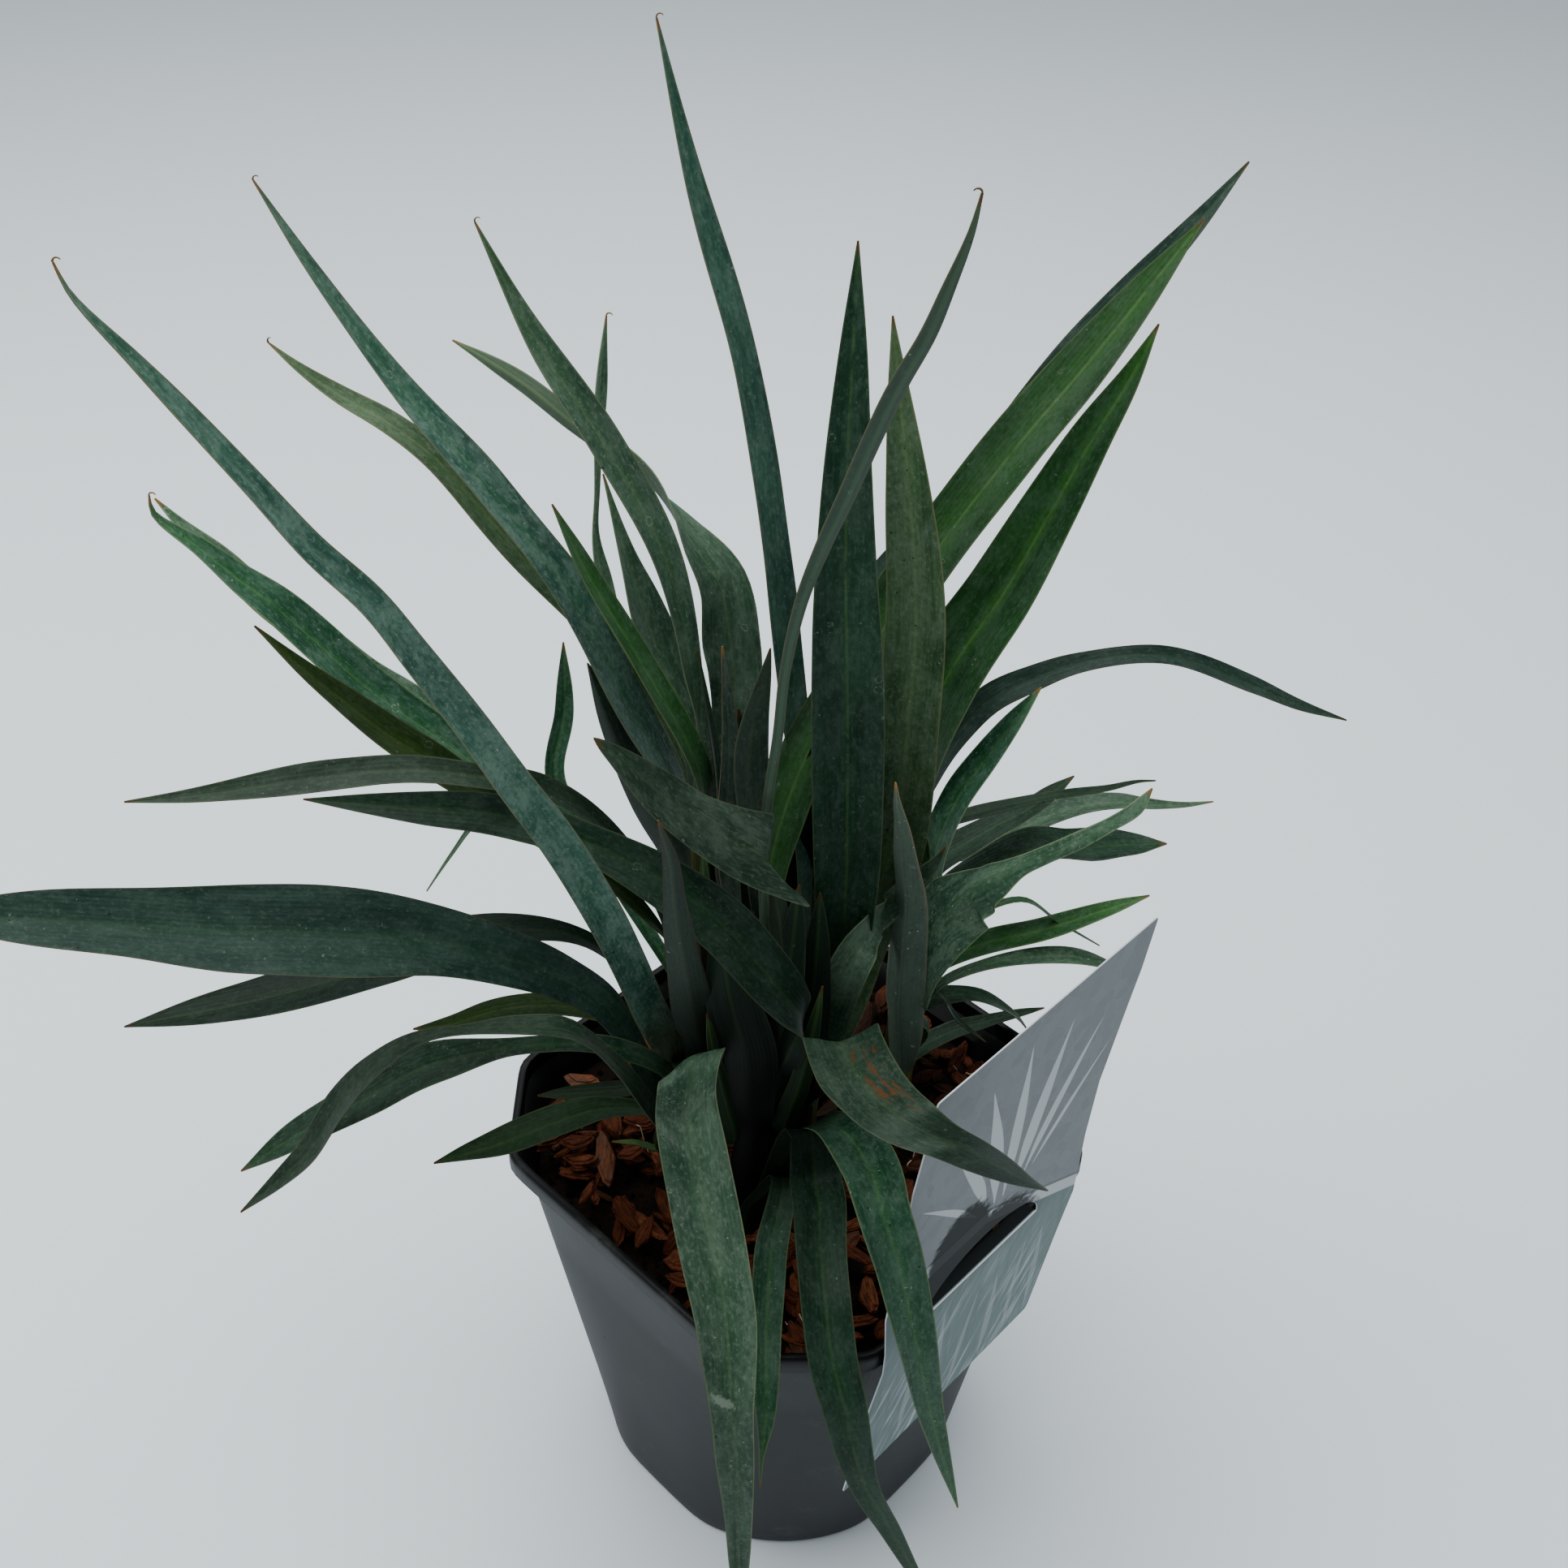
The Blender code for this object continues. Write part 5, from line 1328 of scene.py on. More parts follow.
# How strongly each mark shows, from 0 to 1; crown is how strongly the crown's painted shade shows.
# heartWidth, tip and hem are in millimetres, and shade scales the whole leaf's colour: partly its own tone,
# partly painted light and shade for how much light reaches it. A leaf may also have other colours, a flush
# from its foot, rust from and to a place along it, or a splash at a place along and across it.
plainLook = {
    "heart": 0.35,
    "heartWidth": 4.0,
    "rib": 0.22,
    "bloom": 0.42,
    "smudges": 0.35,
    "rings": 0.04,
    "specks": 0.16,
    "darkSpecks": 0.06,
    "margin": 0.8,
    "hem": 0.5,
    "tip": 4.0,
    "crown": 0.8,
    "shade": 1.0,
}
leafTint = (0.95, 1.03, 0.87)
# Painted shade at the base of the plant, where the sheaths stand close together: where it is, how far it
# reaches, the height at which it ends and that up to which it is full, and its colour
crown = {
    "middle": (-10.0, -22.0),
    "reach": (46.0, 20.0),
    "height": (292.0, 225.0),
    "colour": (0.0030, 0.0075, 0.0035),
}
# Sizes of the patterns of a leaf, and the spacing and size of its round marks
leafMarks = {
    "streak": 0.9,
    "broad": 9.0,
    "film": 5.5,
    "fine": 0.45,
    "mottle": 1.1,
    "veins": 5.2,
    "warp": 1.7,
    "patchy": 14.0,
    "smudge": 2.4,
    "rings": (4.6, 1.7),
    "specks": (2.0, 0.5),
    "flaws": (2.6, 0.55),
    "torn": 1.5,
    "frayed": 1.1,
}
tipColour = (0.16, 0.075, 0.028)
speckColour = (0.23, 0.27, 0.24)
flushColour = (0.095, 0.075, 0.045)
rustColour = (0.17, 0.060, 0.022)
darkSpeckColour = (0.012, 0.010, 0.006)
# the sheaths' colours; dark and light are kept very dark, partly their own colour, partly painted shade among
# the crowded stems
sheathColours = {
    "dark": (0.006, 0.014, 0.006),
    "light": (0.036, 0.056, 0.016),
    "edge": (0.07, 0.06, 0.03),
    "earthy": (0.045, 0.020, 0.012),
}
# the leaves in the middle of the plant, their marks hidden and their colour darkened as painted shade
coreLook = dict(bloom=0.2, heart=0, rib=0, smudges=0.2, shade=0.4)
leafLooks = {
    "far_left": dict(bloom=0.6, heart=0.1, rib=0.12, margin=0.9, flush=46, shade=1.35),
    "upper_left_long": dict(bloom=0.55, heart=0.5, smudges=0.6, rings=0.04, shade=1.2),
    "upper_left_inner": dict(heart=0.6, smudges=0.5, rings=0.06),
    "tall_back": dict(bloom=0.3, heart=0.2, rib=0.07, margin=0.8, shade=1.2),
    "narrow_arch": dict(bloom=0.35, heart=0, rib=0.05, shade=0.8),
    "right_upper": dict(heart=0.8, heartWidth=7, rib=0.4, smudges=0.5, rings=0.07, shade=0.55),
    "right_mid": dict(heart=0.9, heartWidth=3.5, rib=0.4, rings=0.04, shade=0.95),
    "centre_dark": dict(heart=0.25, rib=0.35, smudges=0.3, rings=0.07, shade=0.65),
    "centre_pale": dict(heart=0.4, rib=0.25, smudges=0.3, darkSpecks=0.25, shade=0.85),
    "big_left": dict(bloom=0.3, heart=0.45, smudges=0.8, rings=0.04, specks=0.45, shade=0.5),
    "left_arc_upper": dict(smudges=0.7, specks=0.6, shade=0.4),
    "left_arc_dark": dict(smudges=0.5, rings=0.04, shade=0.4),
    "left_drooping": dict(smudges=0.6, specks=0.7, shade=0.55),
    "left_olive": dict(darkSpecks=0.4, shade=0.45),
    "front_left": dict(rib=0.15, smudges=0.6, specks=0.5, splash=(150.0, 2.5, 4.0), shade=0.85),
    "front_right": dict(specks=0.3, darkSpecks=0.55),
    "front_centre": dict(rib=0.3, smudges=0.4, specks=0.25, shade=0.5),
    "front_second": dict(specks=0.5, shade=0.85),
    "centre_folded": dict(bloom=0.6, margin=0.9, specks=0.3, shade=0.45),
    "front_folded": dict(bloom=0.3, smudges=0.5, rust=(76.0, 120.0), shade=0.45),
    "upper_left_pale": dict(shade=0.75),
    "upper_left_twist": dict(shade=1.1),
    "back_thin": dict(shade=1.7),
    "back_broad": dict(shade=1.5),
    "left_bright": dict(shade=0.7),
    "left_pair_upper": dict(rib=0.1, shade=1.95),
    "left_pair_lower": dict(shade=1.45),
    "left_stub": dict(colours="deep", shade=1.75),
    "left_below": dict(shade=0.25),
    "left_brown_tip": dict(shade=0.7),
    "left_twisted": dict(shade=0.4),
    "left_low_bright": dict(shade=0.2),
    "left_low_broad": dict(shade=0.35),
    "purple_left": dict(shade=0.7),
    "right_keeled": dict(crown=0.2, shade=3.1),
    "right_curved": dict(colours="greyGreen", rib=0, crown=0.1, shade=1),
    "right_torn": dict(colours="greyGreen", rib=0.1, shade=1.9),
    "right_slender": dict(shade=0.35),
    "right_behind": dict(shade=0.45),
    "right_low": dict(colours="greyGreen", shade=1.35),
    "rim_arc": dict(shade=0.85),
    "rim_low": dict(shade=0.45),
    "rim_hanging": dict(shade=0.4),
    "purple_back": dict(shade=1.3),
    "dark_back": dict(shade=0.35),
    "dark_left": dict(shade=0.55),
    "grey_inner": dict(shade=0.4),
    "dark_droop": dict(shade=0.4),
    "right_top": dict(shade=0.5),
    "right_arch": dict(shade=0.4),
    "right_small": dict(shade=2.05),
    "core_broad": dict(colours="deep", bloom=0.2, heart=0, rib=0, smudges=0.2, crown=1, shade=0.3),
    "core_inner": coreLook,
    "core_back": coreLook,
    "core_behind": coreLook,
    "core_far": coreLook,
    "core_right": dict(rib=0, shade=0.8),
    "core_left": dict(rib=0, shade=0.8),
    "right_flat": dict(shade=0.6),
}


def crownShade(finish):
    low = finish.rise(finish.parts(finish.where(), 2), *crown["height"])
    return finish.nearness(crown["middle"], *crown["reach"]) * low


def leafFinish(name, kind, look, seed):
    colours = leafColours[kind]
    marks = leafMarks
    finish = Finish(name, IOR=1.25, Specular_IOR_Level=0.4)
    side = finish.field("side")
    along = finish.field("along")
    share = finish.field("share")
    fromEdge = finish.field("fromEdge")
    upper = finish.field("upper")
    away = abs(side)
    place = finish.place(side, along, seed * 13.7)

    def drawnOut(by):
        # the place with its pattern drawn out along the leaf
        return finish.stretched(place, (1.0, by, 1.0))

    streaks = finish.cloud(drawnOut(0.03), marks["streak"], 3.0, 0.6)
    broad = finish.cloud(drawnOut(0.3), marks["broad"], 3.0, 0.55)
    film = finish.cloud(drawnOut(0.45), marks["film"], 5.0, 0.65, 0.6)
    mottle = finish.cloud(drawnOut(0.6), marks["mottle"], 4.0, 0.7)
    fine = finish.cloud(place, marks["fine"], 2.0, 0.6)

    # the green, its paler heart, its veins and the grey bloom on it
    light = finish.rise(0.55 * broad + 0.45 * streaks, 0.36, 0.64)
    colour = finish.blend(light, colours["dark"], colours["light"])
    heart = finish.rise(away, look["heartWidth"], 0.2 * look["heartWidth"])
    heart = heart * (0.4 + 0.8 * broad) * look["heart"]
    colour = finish.blend(heart, colour, colours["heart"])
    veins = finish.node("ShaderNodeMath", {"operation": "SINE"}, {0: side * marks["veins"] + 2.0 * streaks})
    colour = finish.blend(finish.rise(veins, 0.1, 1.0) * 0.14, colour, colours["dark"])
    bloom = finish.rise(film, 0.38, 0.66) * look["bloom"]
    colour = finish.blend(bloom, colour, colours["bloom"])
    dull = finish.rise(mottle, 0.52, 0.66) * (0.25 + look["bloom"]) * 0.75
    colour = finish.blend(dull, colour, colours["bloom"])
    colour = finish.blend(finish.rise(mottle, 0.47, 0.36) * 0.45, colour, colours["dark"])

    # the midrib, the dull underside and the thin pale margin
    broken = finish.rise(finish.cloud(finish.place(0.0, along, seed * 3.1), 7.0, 3.0, 0.6), 0.30, 0.52)
    rib = finish.rise(away, 0.62, 0.2) * broken * look["rib"]
    colour = finish.blend(rib * upper, colour, colours["rib"])
    keel = finish.rise(away, 0.8, 0.3) * (1.0 - upper)
    colour = finish.blend((1.0 - upper) * 0.7, colour, colours["under"])
    colour = finish.blend(keel * 0.5, colour, colours["rib"])
    hem = finish.rise(fromEdge, look["hem"], 0.35 * look["hem"]) * look["margin"] * (0.5 + 0.7 * broad)
    colour = finish.blend(hem, colour, colours["margin"])

    # dried water marks, pale and dark specks, and the brown tip
    uneven = finish.warped(place, marks["warp"], 1.5)
    patchy = finish.rise(finish.cloud(place, marks["patchy"], 2.0), 0.42, 0.62)
    smudges = finish.rise(finish.cloud(uneven, marks["smudge"], 5.0, 0.72), 0.57, 0.74)
    smudges = smudges * patchy * look["smudges"]
    spacing, radius = marks["rings"]
    rings = finish.dots(uneven, spacing, look["rings"], radius, 0.3, 0.55)
    rings = rings * finish.rise(fine, 0.42, 0.56) * 0.7
    spacing, radius = marks["specks"]
    specks = finish.dots(uneven, spacing, look["specks"], radius, 0.6) * (0.25 + 0.75 * patchy) * 0.75
    colour = finish.blend(smudges * 0.6, colour, speckColour)
    colour = finish.blend(rings + specks, colour, speckColour)
    spacing, radius = marks["flaws"]
    flaws = finish.dots(uneven, spacing, look["darkSpecks"], radius, 0.5) * 0.85
    colour = finish.blend(flaws, colour, darkSpeckColour)
    toTip = along / (share + 0.0001) - along
    brown = finish.rise(toTip + 2.5 * (fine - 0.5), look["tip"], 0.2 * look["tip"])
    colour = finish.blend(brown * 0.85, colour, tipColour)
    if "rust" in look:
        start, end = look["rust"]
        torn = finish.rise(finish.cloud(drawnOut(0.22), marks["torn"], 3.0, 0.6), 0.52, 0.60)
        zone = finish.rise(along, start, start + 8.0) * finish.rise(along, end, end - 8.0)
        zone = zone * finish.rise(side, -8.5, -7.0) * finish.rise(side, 0.0, -1.5)
        colour = finish.blend(torn * zone * 0.85, colour, rustColour)
    if "splash" in look:
        middle, offset, reach = look["splash"]
        across = side - offset
        up = (along - middle + 0.4 * across) * 2.0
        frayed = finish.cloud(uneven, marks["frayed"], 4.0, 0.75) - 0.5
        spread = (across * across + up * up) ** 0.5 + 7.0 * frayed
        colour = finish.blend(finish.rise(spread, reach, 0.5 * reach) * 0.7, colour, speckColour)

    # the foot, which turns into the sheath, and the painted shade of the crown
    sheath = finish.blend(finish.rise(streaks, 0.35, 0.65), sheathColours["dark"], sheathColours["light"])
    sheath = finish.blend(finish.rise(fromEdge, 0.9, 0.2) * 0.6, sheath, sheathColours["edge"])
    if "flush" in look:
        flush = finish.rise(along + 12.0 * (broad - 0.5), look["flush"], 0.2 * look["flush"])
        colour = finish.blend(flush * 0.6, colour, flushColour)
    base = finish.rise(along + 8.0 * (broad - 0.5), 14.0, -8.0)
    colour = finish.blend(base * 0.8, colour, sheath)
    colour = finish.blend(crownShade(finish) * look["crown"], colour, crown["colour"])
    # painted light and shade: the colour is scaled by the leaf's shade, partly its own tone, partly how much
    # light reaches it
    colour = finish.stretched(colour, [look["shade"] * part for part in leafTint])
    rough = 0.44 + 0.16 * bloom + 0.25 * smudges + 0.2 * rings + 0.06 * streaks + 0.1 * (1.0 - upper)
    height = 0.12 * veins + 0.35 * streaks + 0.25 * fine + 0.5 * rings - 0.9 * rib
    finish.set(Base_Color=colour, Roughness=rough, Normal=finish.bumps(height, 0.14, 0.7))
    return finish.material


def makeLeaf(leaf, seed, *standsFor):
    look = {**plainLook, **leafLooks.get(leaf["name"], {})}
    name = "leaf_" + leaf["name"]
    material = leafFinish(name, look.get("colours", leaf["finish"]), look, seed)
    addPiece(name, leafMesh(leaf, seed), material, leafSlots[leaf["finish"]], *standsFor)


for number, leaf in enumerate(leafTable):
    makeLeaf(leaf, number + 1, leaf["name"])
print("leaves made:", len(leafTable))
for number, leaf in enumerate(smallLeaves):
    makeLeaf(leaf, number + 101)
print("small leaves made:", len(smallLeaves))


# Stems of folded sheaths

stem = {
    "sides": 48,
    "steps": 60,
    "bottom": 150.0,
    "closing": 14.0,
    "ridges": 12.0,
    "ridgeHeight": 0.16,
    "uneven": 0.35,
    "inset": 0.3,
    # how far the foot swells, and the heights between which it does
    "swell": 0.8,
    "swollen": (172.0, 152.0),
    # heights between which the sheath turns green, and earthy
    "green": (235.0, 285.0),
    "earthy": (176.0, 158.0),
}


def sheathFinish():
    finish = Finish("leaf_sheath", Roughness=0.5, Specular_IOR_Level=0.2)
    where = finish.where()
    streaks = finish.cloud(finish.stretched(where, (1.0, 1.0, 0.03)), 1.1, 3.0, 0.6)
    broad = finish.cloud(where, 20.0, 2.0)
    height = finish.parts(where, 2)
    colour = finish.blend(finish.rise(streaks, 0.35, 0.65), sheathColours["dark"], sheathColours["light"])
    colour = finish.blend(finish.rise(height, *stem["green"]), colour, leafColours["deep"]["dark"])
    earthy = finish.rise(height + 14.0 * broad, *stem["earthy"])
    colour = finish.blend(earthy * 0.75, colour, sheathColours["earthy"])
    # painted shade of the crown, darkening the stems low among the leaves
    colour = finish.blend(crownShade(finish) * 0.85, colour, crown["colour"])
    finish.set(Base_Color=colour, Roughness=0.45 + 0.2 * broad, Normal=finish.bumps(streaks, 0.4, 0.9))
    return finish.material


def makeShoot(name, shoot, material):
    sides = stem["sides"]
    steps = stem["steps"]
    high = shoot["top"][2]
    points = []
    for step in range(steps + 1):
        z = mix(stem["bottom"], high, step / steps)
        centre = shootAt(shoot, z)[0]
        closing = math.sqrt(max(0.0, 1.0 - smooth(high - stem["closing"], high + 0.5, z) ** 2))
        swell = stem["swell"] * smooth(*stem["swollen"], z)
        for i in range(sides):
            azimuth = shoot["turn"] + 360.0 * i / sides
            ridge = stem["ridgeHeight"] * math.cos(math.radians(azimuth * stem["ridges"]))
            ridge += stem["uneven"] * noise.noise(Vector((azimuth * 0.06, z * 0.03, 2.0)))
            reach = (shootReach(shoot, z, azimuth) + ridge + swell - stem["inset"]) * max(0.08, closing)
            points.append(centre + around(azimuth) * reach)
    mesh = newMesh("stem_" + name, points, loftFaces(steps + 1, sides), sharp=60.0)
    addPiece("stem_" + name, mesh, material, "leaf_sheath", "shoot_" + name)


stemMaterial = sheathFinish()
for name, shoot in shoots.items():
    makeShoot(name, shoot, stemMaterial)
print("stems made")


# Label

label = {
    "azimuth": -45.0,
    "out": 86.3,
    "rim": 171.2,
    "thick": 0.5,
    "bevel": 0.12,
    "corner": 1.6,
    "cornerSteps": 6,
    # height over the rim and distance along the pot's side
    "left": [(-62, -66), (-25, -57), (-10, -52), (0, -52), (20, -54), (45, -51.5), (75, -48.5), (88, -46),
             (108, -42.5)],
    "right": [(-62, 31), (-25, 42), (-10, 47), (0, 47), (20, 46.5), (45, 48), (75, 55.5), (88, 59),
              (108, 62.3)],
    "holeCentre": -5.0,
    "holeHalf": 29.0,
    "holeHeight": 16.0,
    "holeBase": 0.25,
    "holeSteps": 40,
    # distance from the axis and height
    "tongueLine": [(86.3, 170.9), (83.5, 170.9), (81.2, 170.3), (80.3, 167), (79.2, 163.5), (77.0, 157)],
    # the tongue is painted dark, as painted shade, inward of this distance from the axis
    "tongueFace": 85.6,
    "tongueColumns": 24,
    "tongueSamples": 8,
    "grey": (0.185, 0.200, 0.212),
    "lightGrey": (0.245, 0.262, 0.275),
    "white": (0.50, 0.53, 0.55),
    "cutEdge": (0.56, 0.59, 0.60),
    "aqua": (0.085, 0.125, 0.125),
    "paleAqua": (0.24, 0.30, 0.30),
    "inkAndShade": (0.006, 0.008, 0.009),
    "dust": (0.25, 0.20, 0.15),
    "tile": 6.0,
    # the band and the panel above it lean by this much for each millimetre across, but less at the left
    "lean": 0.55,
    "levelLeftOf": -6.0,
    "band": (18.8, 19.6),
    "panel": (24.6, 25.4),
    # across and up of the root, across of the end, height, bend, and half width of each printed blade
    "blades": [(-8, 30, -34, 52, -10, 2.6), (-4, 28, -16, 66, -6, 3.2), (0, 27, 2, 74, -3, 2.8),
               (5, 28, 24, 68, 5, 3.4), (9, 30, 44, 54, 11, 2.7), (-12, 30, -46, 34, -7, 1.8),
               (13, 31, 52, 36, 8, 1.9)],
    "lowBlades": [(-40, -60, -30, 50, 6, 1.5), (-26, -62, -22, 58, -4, 2.1), (-14, -62, -2, 52, 5, 1.4),
                  (2, -62, 6, 50, -5, 1.9), (16, -62, 22, 56, 5, 1.3), (28, -60, 30, 50, -4, 1.7)],
    # middle and reach of each dark oval on the card above the rim
    "darkOvals": [((-20.0, 20.0), (16.0, 22.0)), ((-8.0, 0.0), (31.0, 27.0))],
}
labelOut = around(label["azimuth"])
labelSide = Vector((-labelOut.y, labelOut.x, 0.0))


def labelPoint(distance, height, sideways):
    return labelOut * distance + labelSide * sideways + Vector((0.0, 0.0, height))


def printedBlades(finish, across, up, blades, reach):
    # curved strokes, each widest below its middle and pointed at its end
    marks = None
    for x, y, end, height, bend, half in blades:
        t = (up - y) / height
        middle = x + t * (end - x - bend) + t * t * bend
        width = half * finish.rise(t, -0.02, 0.35) * finish.rise(t, 1.02, 0.45)
        away = abs(across - middle)
        mark = finish.rise(away / (width + 0.05), 1.06, 0.94) * finish.rise(width, 0.1, 0.3) * reach
        marks = mark if marks is None else marks.orMore(mark)
    return marks


def darkOval(finish, across, up, oval, ragged):
    # a dark oval with a frayed edge
    middle, reach = oval
    x = (across - middle[0]) / reach[0]
    y = (up - middle[1]) / reach[1]
    return finish.rise(x * x + y * y + 0.9 * (ragged - 0.5), 1.15, 0.80)


def labelPanel(finish, across, up, flat, soft, inPanel):
    # the grey upper field with its tiles and blades
    sockets = {"Vector": flat, "Scale": 1.0 / label["tile"]}
    tiles = finish.node("ShaderNodeTexVoronoi", {"feature": "DISTANCE_TO_EDGE"}, sockets)
    tint = finish.node("ShaderNodeTexVoronoi", {}, sockets, "Color")
    panel = finish.blend(finish.parts(tint, 0) * 0.45 + 0.3 * soft, label["grey"], label["lightGrey"])
    panel = finish.blend(finish.rise(tiles, 0.05, 0.0) * 0.35, panel, label["lightGrey"])
    return finish.blend(printedBlades(finish, across, up, label["blades"], inPanel), panel, label["white"])


def labelLowField(finish, across, up, flat, soft):
    # the blue-green lower field with its blades and brush strokes
    streaks = finish.cloud(finish.stretched(flat, (1.0, 0.06, 1.0)), 2.4, 3.0, 0.6)
    low = finish.blend(0.5 * streaks + 0.5 * soft, label["aqua"], label["paleAqua"])
    low = finish.blend(printedBlades(finish, across, up, label["lowBlades"], 0.3), low, label["white"])
    slant = finish.place(across * 0.8 - up * 0.6, (across * 0.6 + up * 0.8) * 0.10, 7.0)
    brush = finish.rise(finish.cloud(slant, 2.6, 4.0, 0.6), 0.50, 0.70) * finish.rise(up, 12.0, -30.0)
    low = finish.blend(brush * 0.75, low, label["white"])
    return finish.blend(finish.rise(up, -14.0, 12.0) * 0.6, low, label["aqua"])


def labelFinish():
    finish = Finish("plant_label", IOR=1.15, Specular_IOR_Level=0.3)
    where = finish.where()
    across = finish.along(where, labelSide)
    up = finish.parts(where, 2) - label["rim"]
    flat = finish.place(across, up, 0.0)
    grain = finish.cloud(flat, 0.8, 2.0, 0.6)
    soft = finish.cloud(flat, 22.0, 3.0, 0.5)
    leaning = up + label["lean"] * across.orMore(label["levelLeftOf"])
    inPanel = finish.rise(leaning, *label["panel"])
    colour = labelLowField(finish, across, up, flat, soft)
    colour = finish.blend(finish.rise(leaning, *label["band"]), colour, label["white"])
    colour = finish.blend(inPanel, colour, labelPanel(finish, across, up, flat, soft, inPanel))
    edge = finish.rise(leaning, 24.6, 25.2) * finish.rise(leaning, 26.6, 26.0)
    colour = finish.blend(edge * 0.3, colour, label["inkAndShade"])
    ragged = finish.cloud(finish.stretched(flat, (0.5, 1.0, 1.0)), 2.2, 4.0, 0.7)
    first, second = [darkOval(finish, across, up, oval, ragged) for oval in label["darkOvals"]]
    inkAndShade = first.orMore(second) * (up > 0.0) * 0.95
    # painted shade: the tongue, inward of tongueFace behind the rim, is made as dark as the print
    inkAndShade = inkAndShade.orMore(finish.along(where, labelOut) < label["tongueFace"])
    colour = finish.blend(inkAndShade, colour, label["inkAndShade"])
    colour = finish.blend(finish.cloud(flat, 1.6, 3.0, 0.7) * 0.06, colour, label["inkAndShade"])
    dust = finish.dots(flat, 7.0, 0.10, 0.5, 0.5) * 0.5
    colour = finish.blend(dust, colour, label["dust"])
    colour = finish.blend(finish.field("cut"), colour, label["cutEdge"])
    finish.set(Base_Color=colour, Roughness=0.42 + 0.10 * grain + 0.2 * dust,
               Normal=finish.bumps(grain + 0.4 * soft, 0.04, 0.5))
    return finish.material


def cardLoop():
    # the card's outline with its four outer corners rounded
    left = [Vector((side, up)) for up, side in label["left"]]
    right = [Vector((side, up)) for up, side in label["right"][::-1]]
    loop = left + right
    sharp = (0, len(left) - 1, len(left), len(loop) - 1)
    made = []
    for i, corner in enumerate(loop):
        if i not in sharp:
            made.append(corner)
            continue
        before = (loop[i - 1] - corner).normalized() * label["corner"]
        after = (loop[(i + 1) % len(loop)] - corner).normalized() * label["corner"]
        for step in range(label["cornerSteps"] + 1):
            t = step / label["cornerSteps"]
            made.append(corner + before * (1.0 - t) ** 2 + after * t * t)
    return made


def holeLoop():
    made = []
    for i in range(label["holeSteps"] + 1):
        turn = math.pi * i / label["holeSteps"]
        made.append(Vector((label["holeCentre"] + label["holeHalf"] * math.cos(turn),
                            label["holeBase"] + label["holeHeight"] * math.sin(turn))))
    return made


def inset(loop, by):
    # every point moved to the right of its loop's course
    made = []
    for i, point in enumerate(loop):
        ahead = (loop[(i + 1) % len(loop)] - loop[i - 1]).normalized()
        made.append(point + Vector((ahead.y, -ahead.x)) * by)
    return made


def addBand(work, first, second, cut):
    # faces between two rows of vertices that go all the way round
    count = len(first)
    made = []
    for i in range(count):
        after = (i + 1) % count
        made.append(work.faces.new((first[i], first[after], second[after], second[i])))
        made[-1][cut] = 1.0
    return made


def addCard(work, cut):
    loops = [cardLoop(), holeLoop()]
    half = 0.5 * label["thick"]
    sides = []
    for proud in (-1, 1):
        rims = []
        for loop in loops:
            for shrink, depth in ((0.0, half - label["bevel"]), (label["bevel"], half)):
                places = [labelPoint(label["out"] + proud * depth, label["rim"] + up, across)
                          for across, up in inset(loop, shrink)]
                rims.append([work.verts.new(place * mm) for place in places])
        sides.append(rims)
    for rims in sides:
        edges = []
        for row in (rims[1], rims[3]):
            edges += [work.edges.new((vert, row[(i + 1) % len(row)])) for i, vert in enumerate(row)]
        bmesh.ops.triangle_fill(work, use_beauty=True, use_dissolve=False, edges=edges)
    for k in (0, 2):
        rows = [sides[0][k + 1], sides[0][k], sides[1][k], sides[1][k + 1]]
        for first, second in zip(rows, rows[1:]):
            addBand(work, first, second, cut)


def addTongue(work, cut):
    # the tongue that was cut from the hole, bent over the rim and down behind it
    line = splinePoints([Vector((*point, 0.0)) for point in label["tongueLine"]], label["tongueSamples"])
    lengths = lengthsAlong(line)
    columns = label["tongueColumns"]
    previous = None
    for i, point in enumerate(line):
        ahead = (line[min(i + 1, len(line) - 1)] - line[max(i - 1, 0)]).normalized()
        normal = Vector((-ahead.y, ahead.x, 0.0)) * 0.5 * label["thick"]
        share = 0.97 * lengths[i] / lengths[-1]
        width = label["holeHalf"] * math.sqrt(1.0 - share * share)
        row = []
        for side in (-1, 1):
            place = point + normal * side
            for column in range(columns + 1):
                across = label["holeCentre"] + width * (2.0 * column / columns - 1.0) * side
                row.append(work.verts.new(labelPoint(place.x, place.y, across) * mm))
        if previous is None:
            work.faces.new(row)
        else:
            for k, face in enumerate(addBand(work, previous, row, cut)):
                face[cut] = 1.0 if k in (columns, len(row) - 1) else 0.0
        previous = row
    work.faces.new(previous)


def makeLabel():
    work = bmesh.new()
    cut = work.faces.layers.float.new("cut")
    addCard(work, cut)
    addTongue(work, cut)
    bmesh.ops.recalc_face_normals(work, faces=work.faces)
    mesh = bpy.data.meshes.new("plant_label_card")
    work.to_mesh(mesh)
    work.free()
    mesh.shade_smooth()
    mesh.set_sharp_from_angle(angle=math.radians(30.0))
    addPiece("plant_label_card", mesh, labelFinish(), "label_plastic", "plant_label")


makeLabel()
print("label made")


# Stage

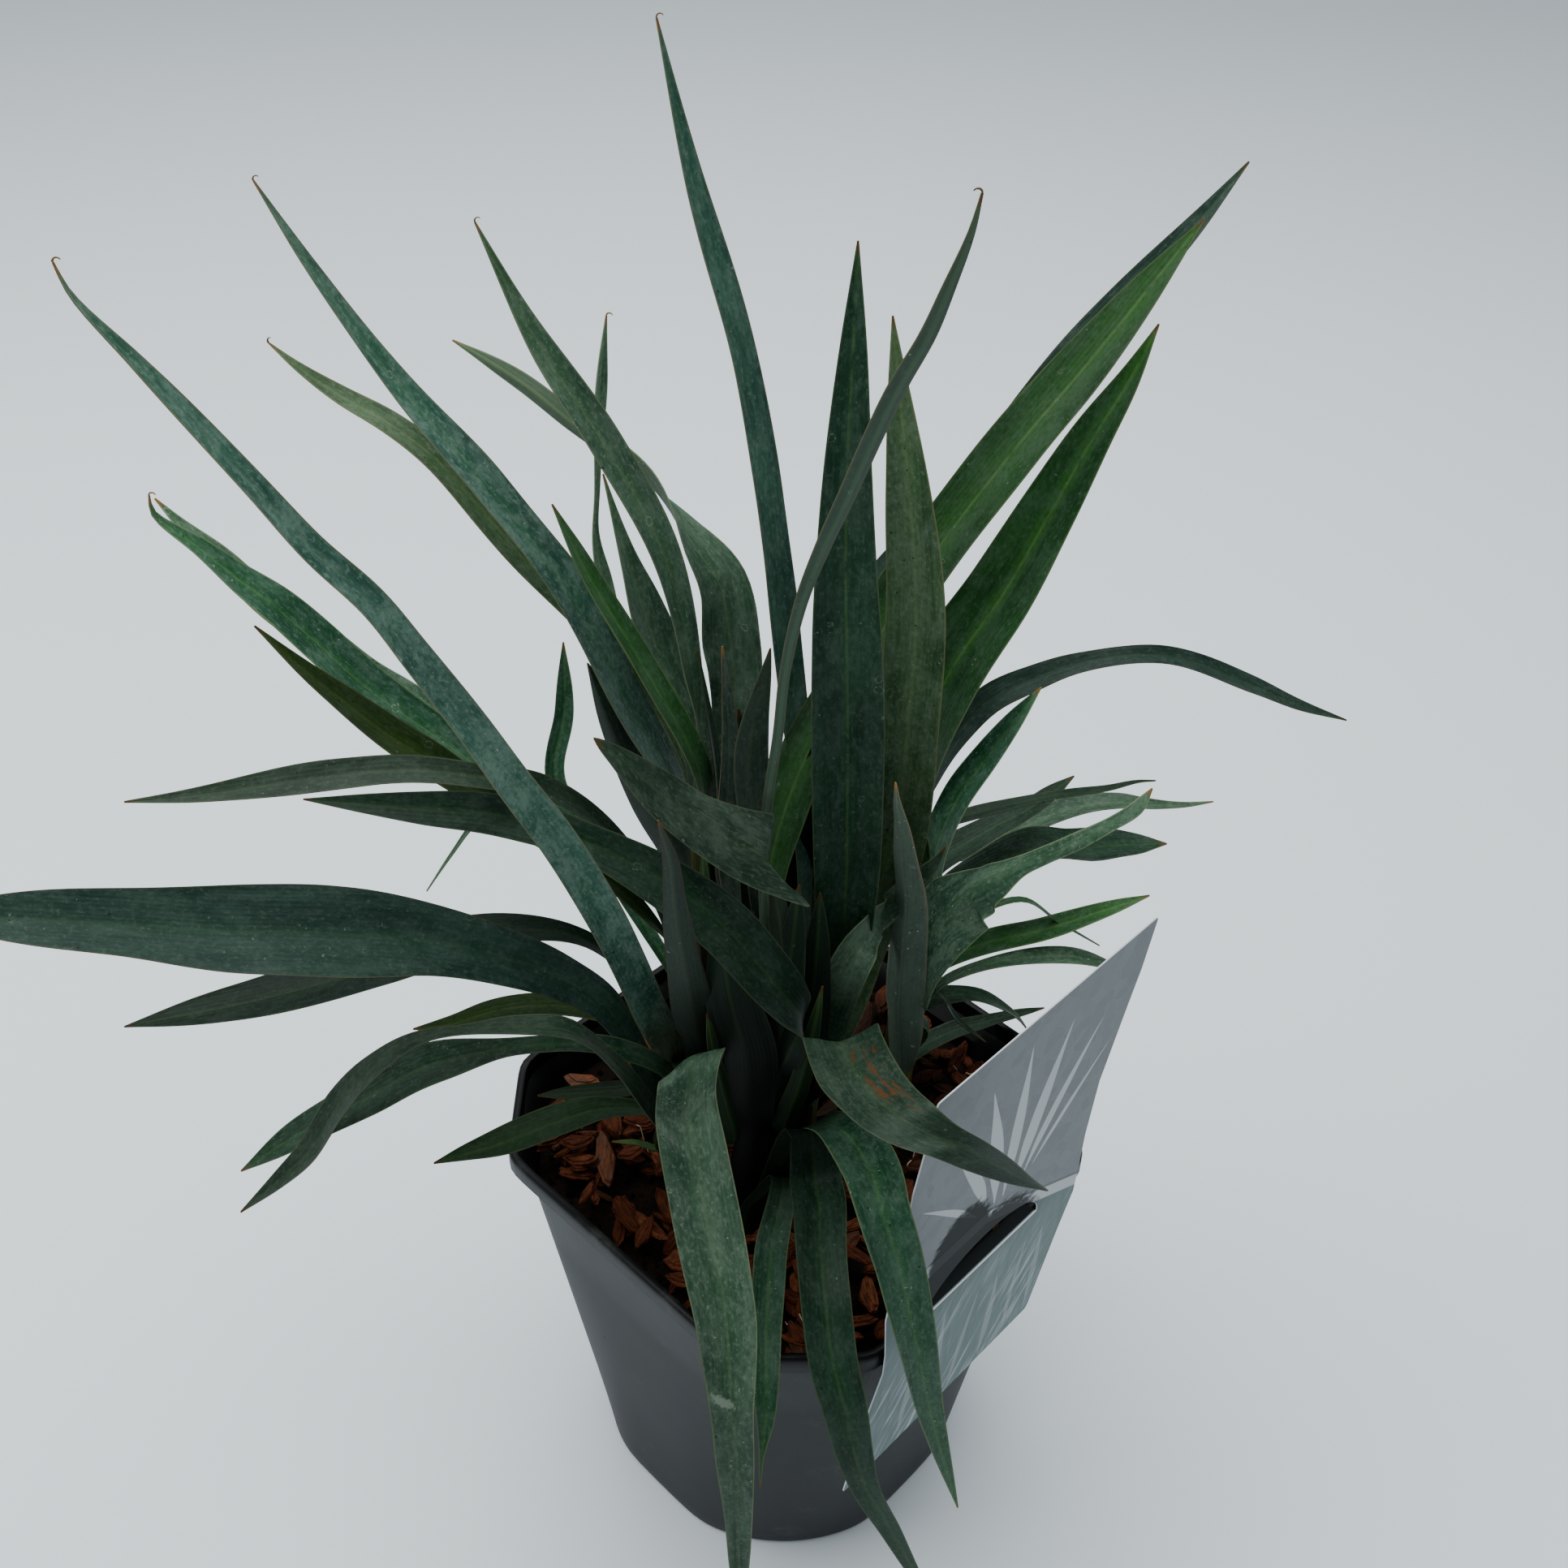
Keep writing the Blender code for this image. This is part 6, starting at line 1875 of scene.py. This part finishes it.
# in metres, as the lights and the camera are, but for the size of the floor's patches
stage = {
    "reach": 3.2,
    "cells": 8,
    "floorLight": (0.80, 0.87, 0.91),
    "floorDark": (0.76, 0.83, 0.87),
    "patch": 900.0,
    "sky": (0.90, 0.96, 1.0),
    "skyStrength": 0.46,
    "aim": (0.0, 0.0, 0.2),
    # place, size, strength in watts and colour of each soft light
    "lights": {
        "top_light": ((-0.15, 0.35, 1.9), 2.2, 48.0, (0.98, 1.0, 1.0)),
        "side_light": ((-1.2, -0.1, 1.3), 1.2, 10.0, (1.0, 0.99, 0.97)),
    },
}
camera = {
    "place": (-0.0278, -0.3805, 0.6190),
    "right": (0.99918, -0.02100, 0.03462),
    "up": (-0.01391, 0.62496, 0.78054),
    "back": (-0.03803, -0.78038, 0.62415),
    "lens": 38.0,
    "sensor": 36.0,
}


def makeFloor():
    finish = Finish("pale_floor", Roughness=0.85)
    tint = finish.cloud(finish.where(), stage["patch"], 2.0)
    finish.set(Base_Color=finish.blend(tint, stage["floorDark"], stage["floorLight"]))
    reach = stage["reach"]
    cells = stage["cells"]
    across = cells + 1
    steps = [mix(-reach, reach, i / cells) for i in range(across)]
    corners = [row * across + column for row in range(cells) for column in range(cells)]
    mesh = bpy.data.meshes.new("floor")
    mesh.from_pydata([(x, y, 0.0) for y in steps for x in steps], [],
                     [(i, i + 1, i + across + 1, i + across) for i in corners])
    mesh.materials.append(finish.material)
    addObject("floor", mesh)


def makeLights():
    for name, (place, size, strength, colour) in stage["lights"].items():
        data = bpy.data.lights.new(name, "AREA")
        data.shape = "DISK"
        data.size = size
        data.energy = strength
        data.color = colour
        lamp = addObject(name, data)
        lamp.location = place
        lamp.rotation_euler = (Vector(stage["aim"]) - lamp.location).to_track_quat("-Z", "Y").to_euler()
    world = bpy.data.worlds.new("soft_sky")
    world.use_nodes = True
    sky = world.node_tree.nodes["Background"]
    sky.inputs["Color"].default_value = (*stage["sky"], 1.0)
    sky.inputs["Strength"].default_value = stage["skyStrength"]
    bpy.context.scene.world = world


def makeCamera():
    data = bpy.data.cameras.new("viewer")
    data.lens = camera["lens"]
    data.sensor_width = camera["sensor"]
    viewer = addObject("viewer", data)
    axes = Matrix((camera["right"], camera["up"], camera["back"])).transposed()
    viewer.matrix_world = Matrix.Translation(camera["place"]) @ axes.to_4x4()
    bpy.context.scene.camera = viewer


makeFloor()
makeLights()
makeCamera()
print("stage made")
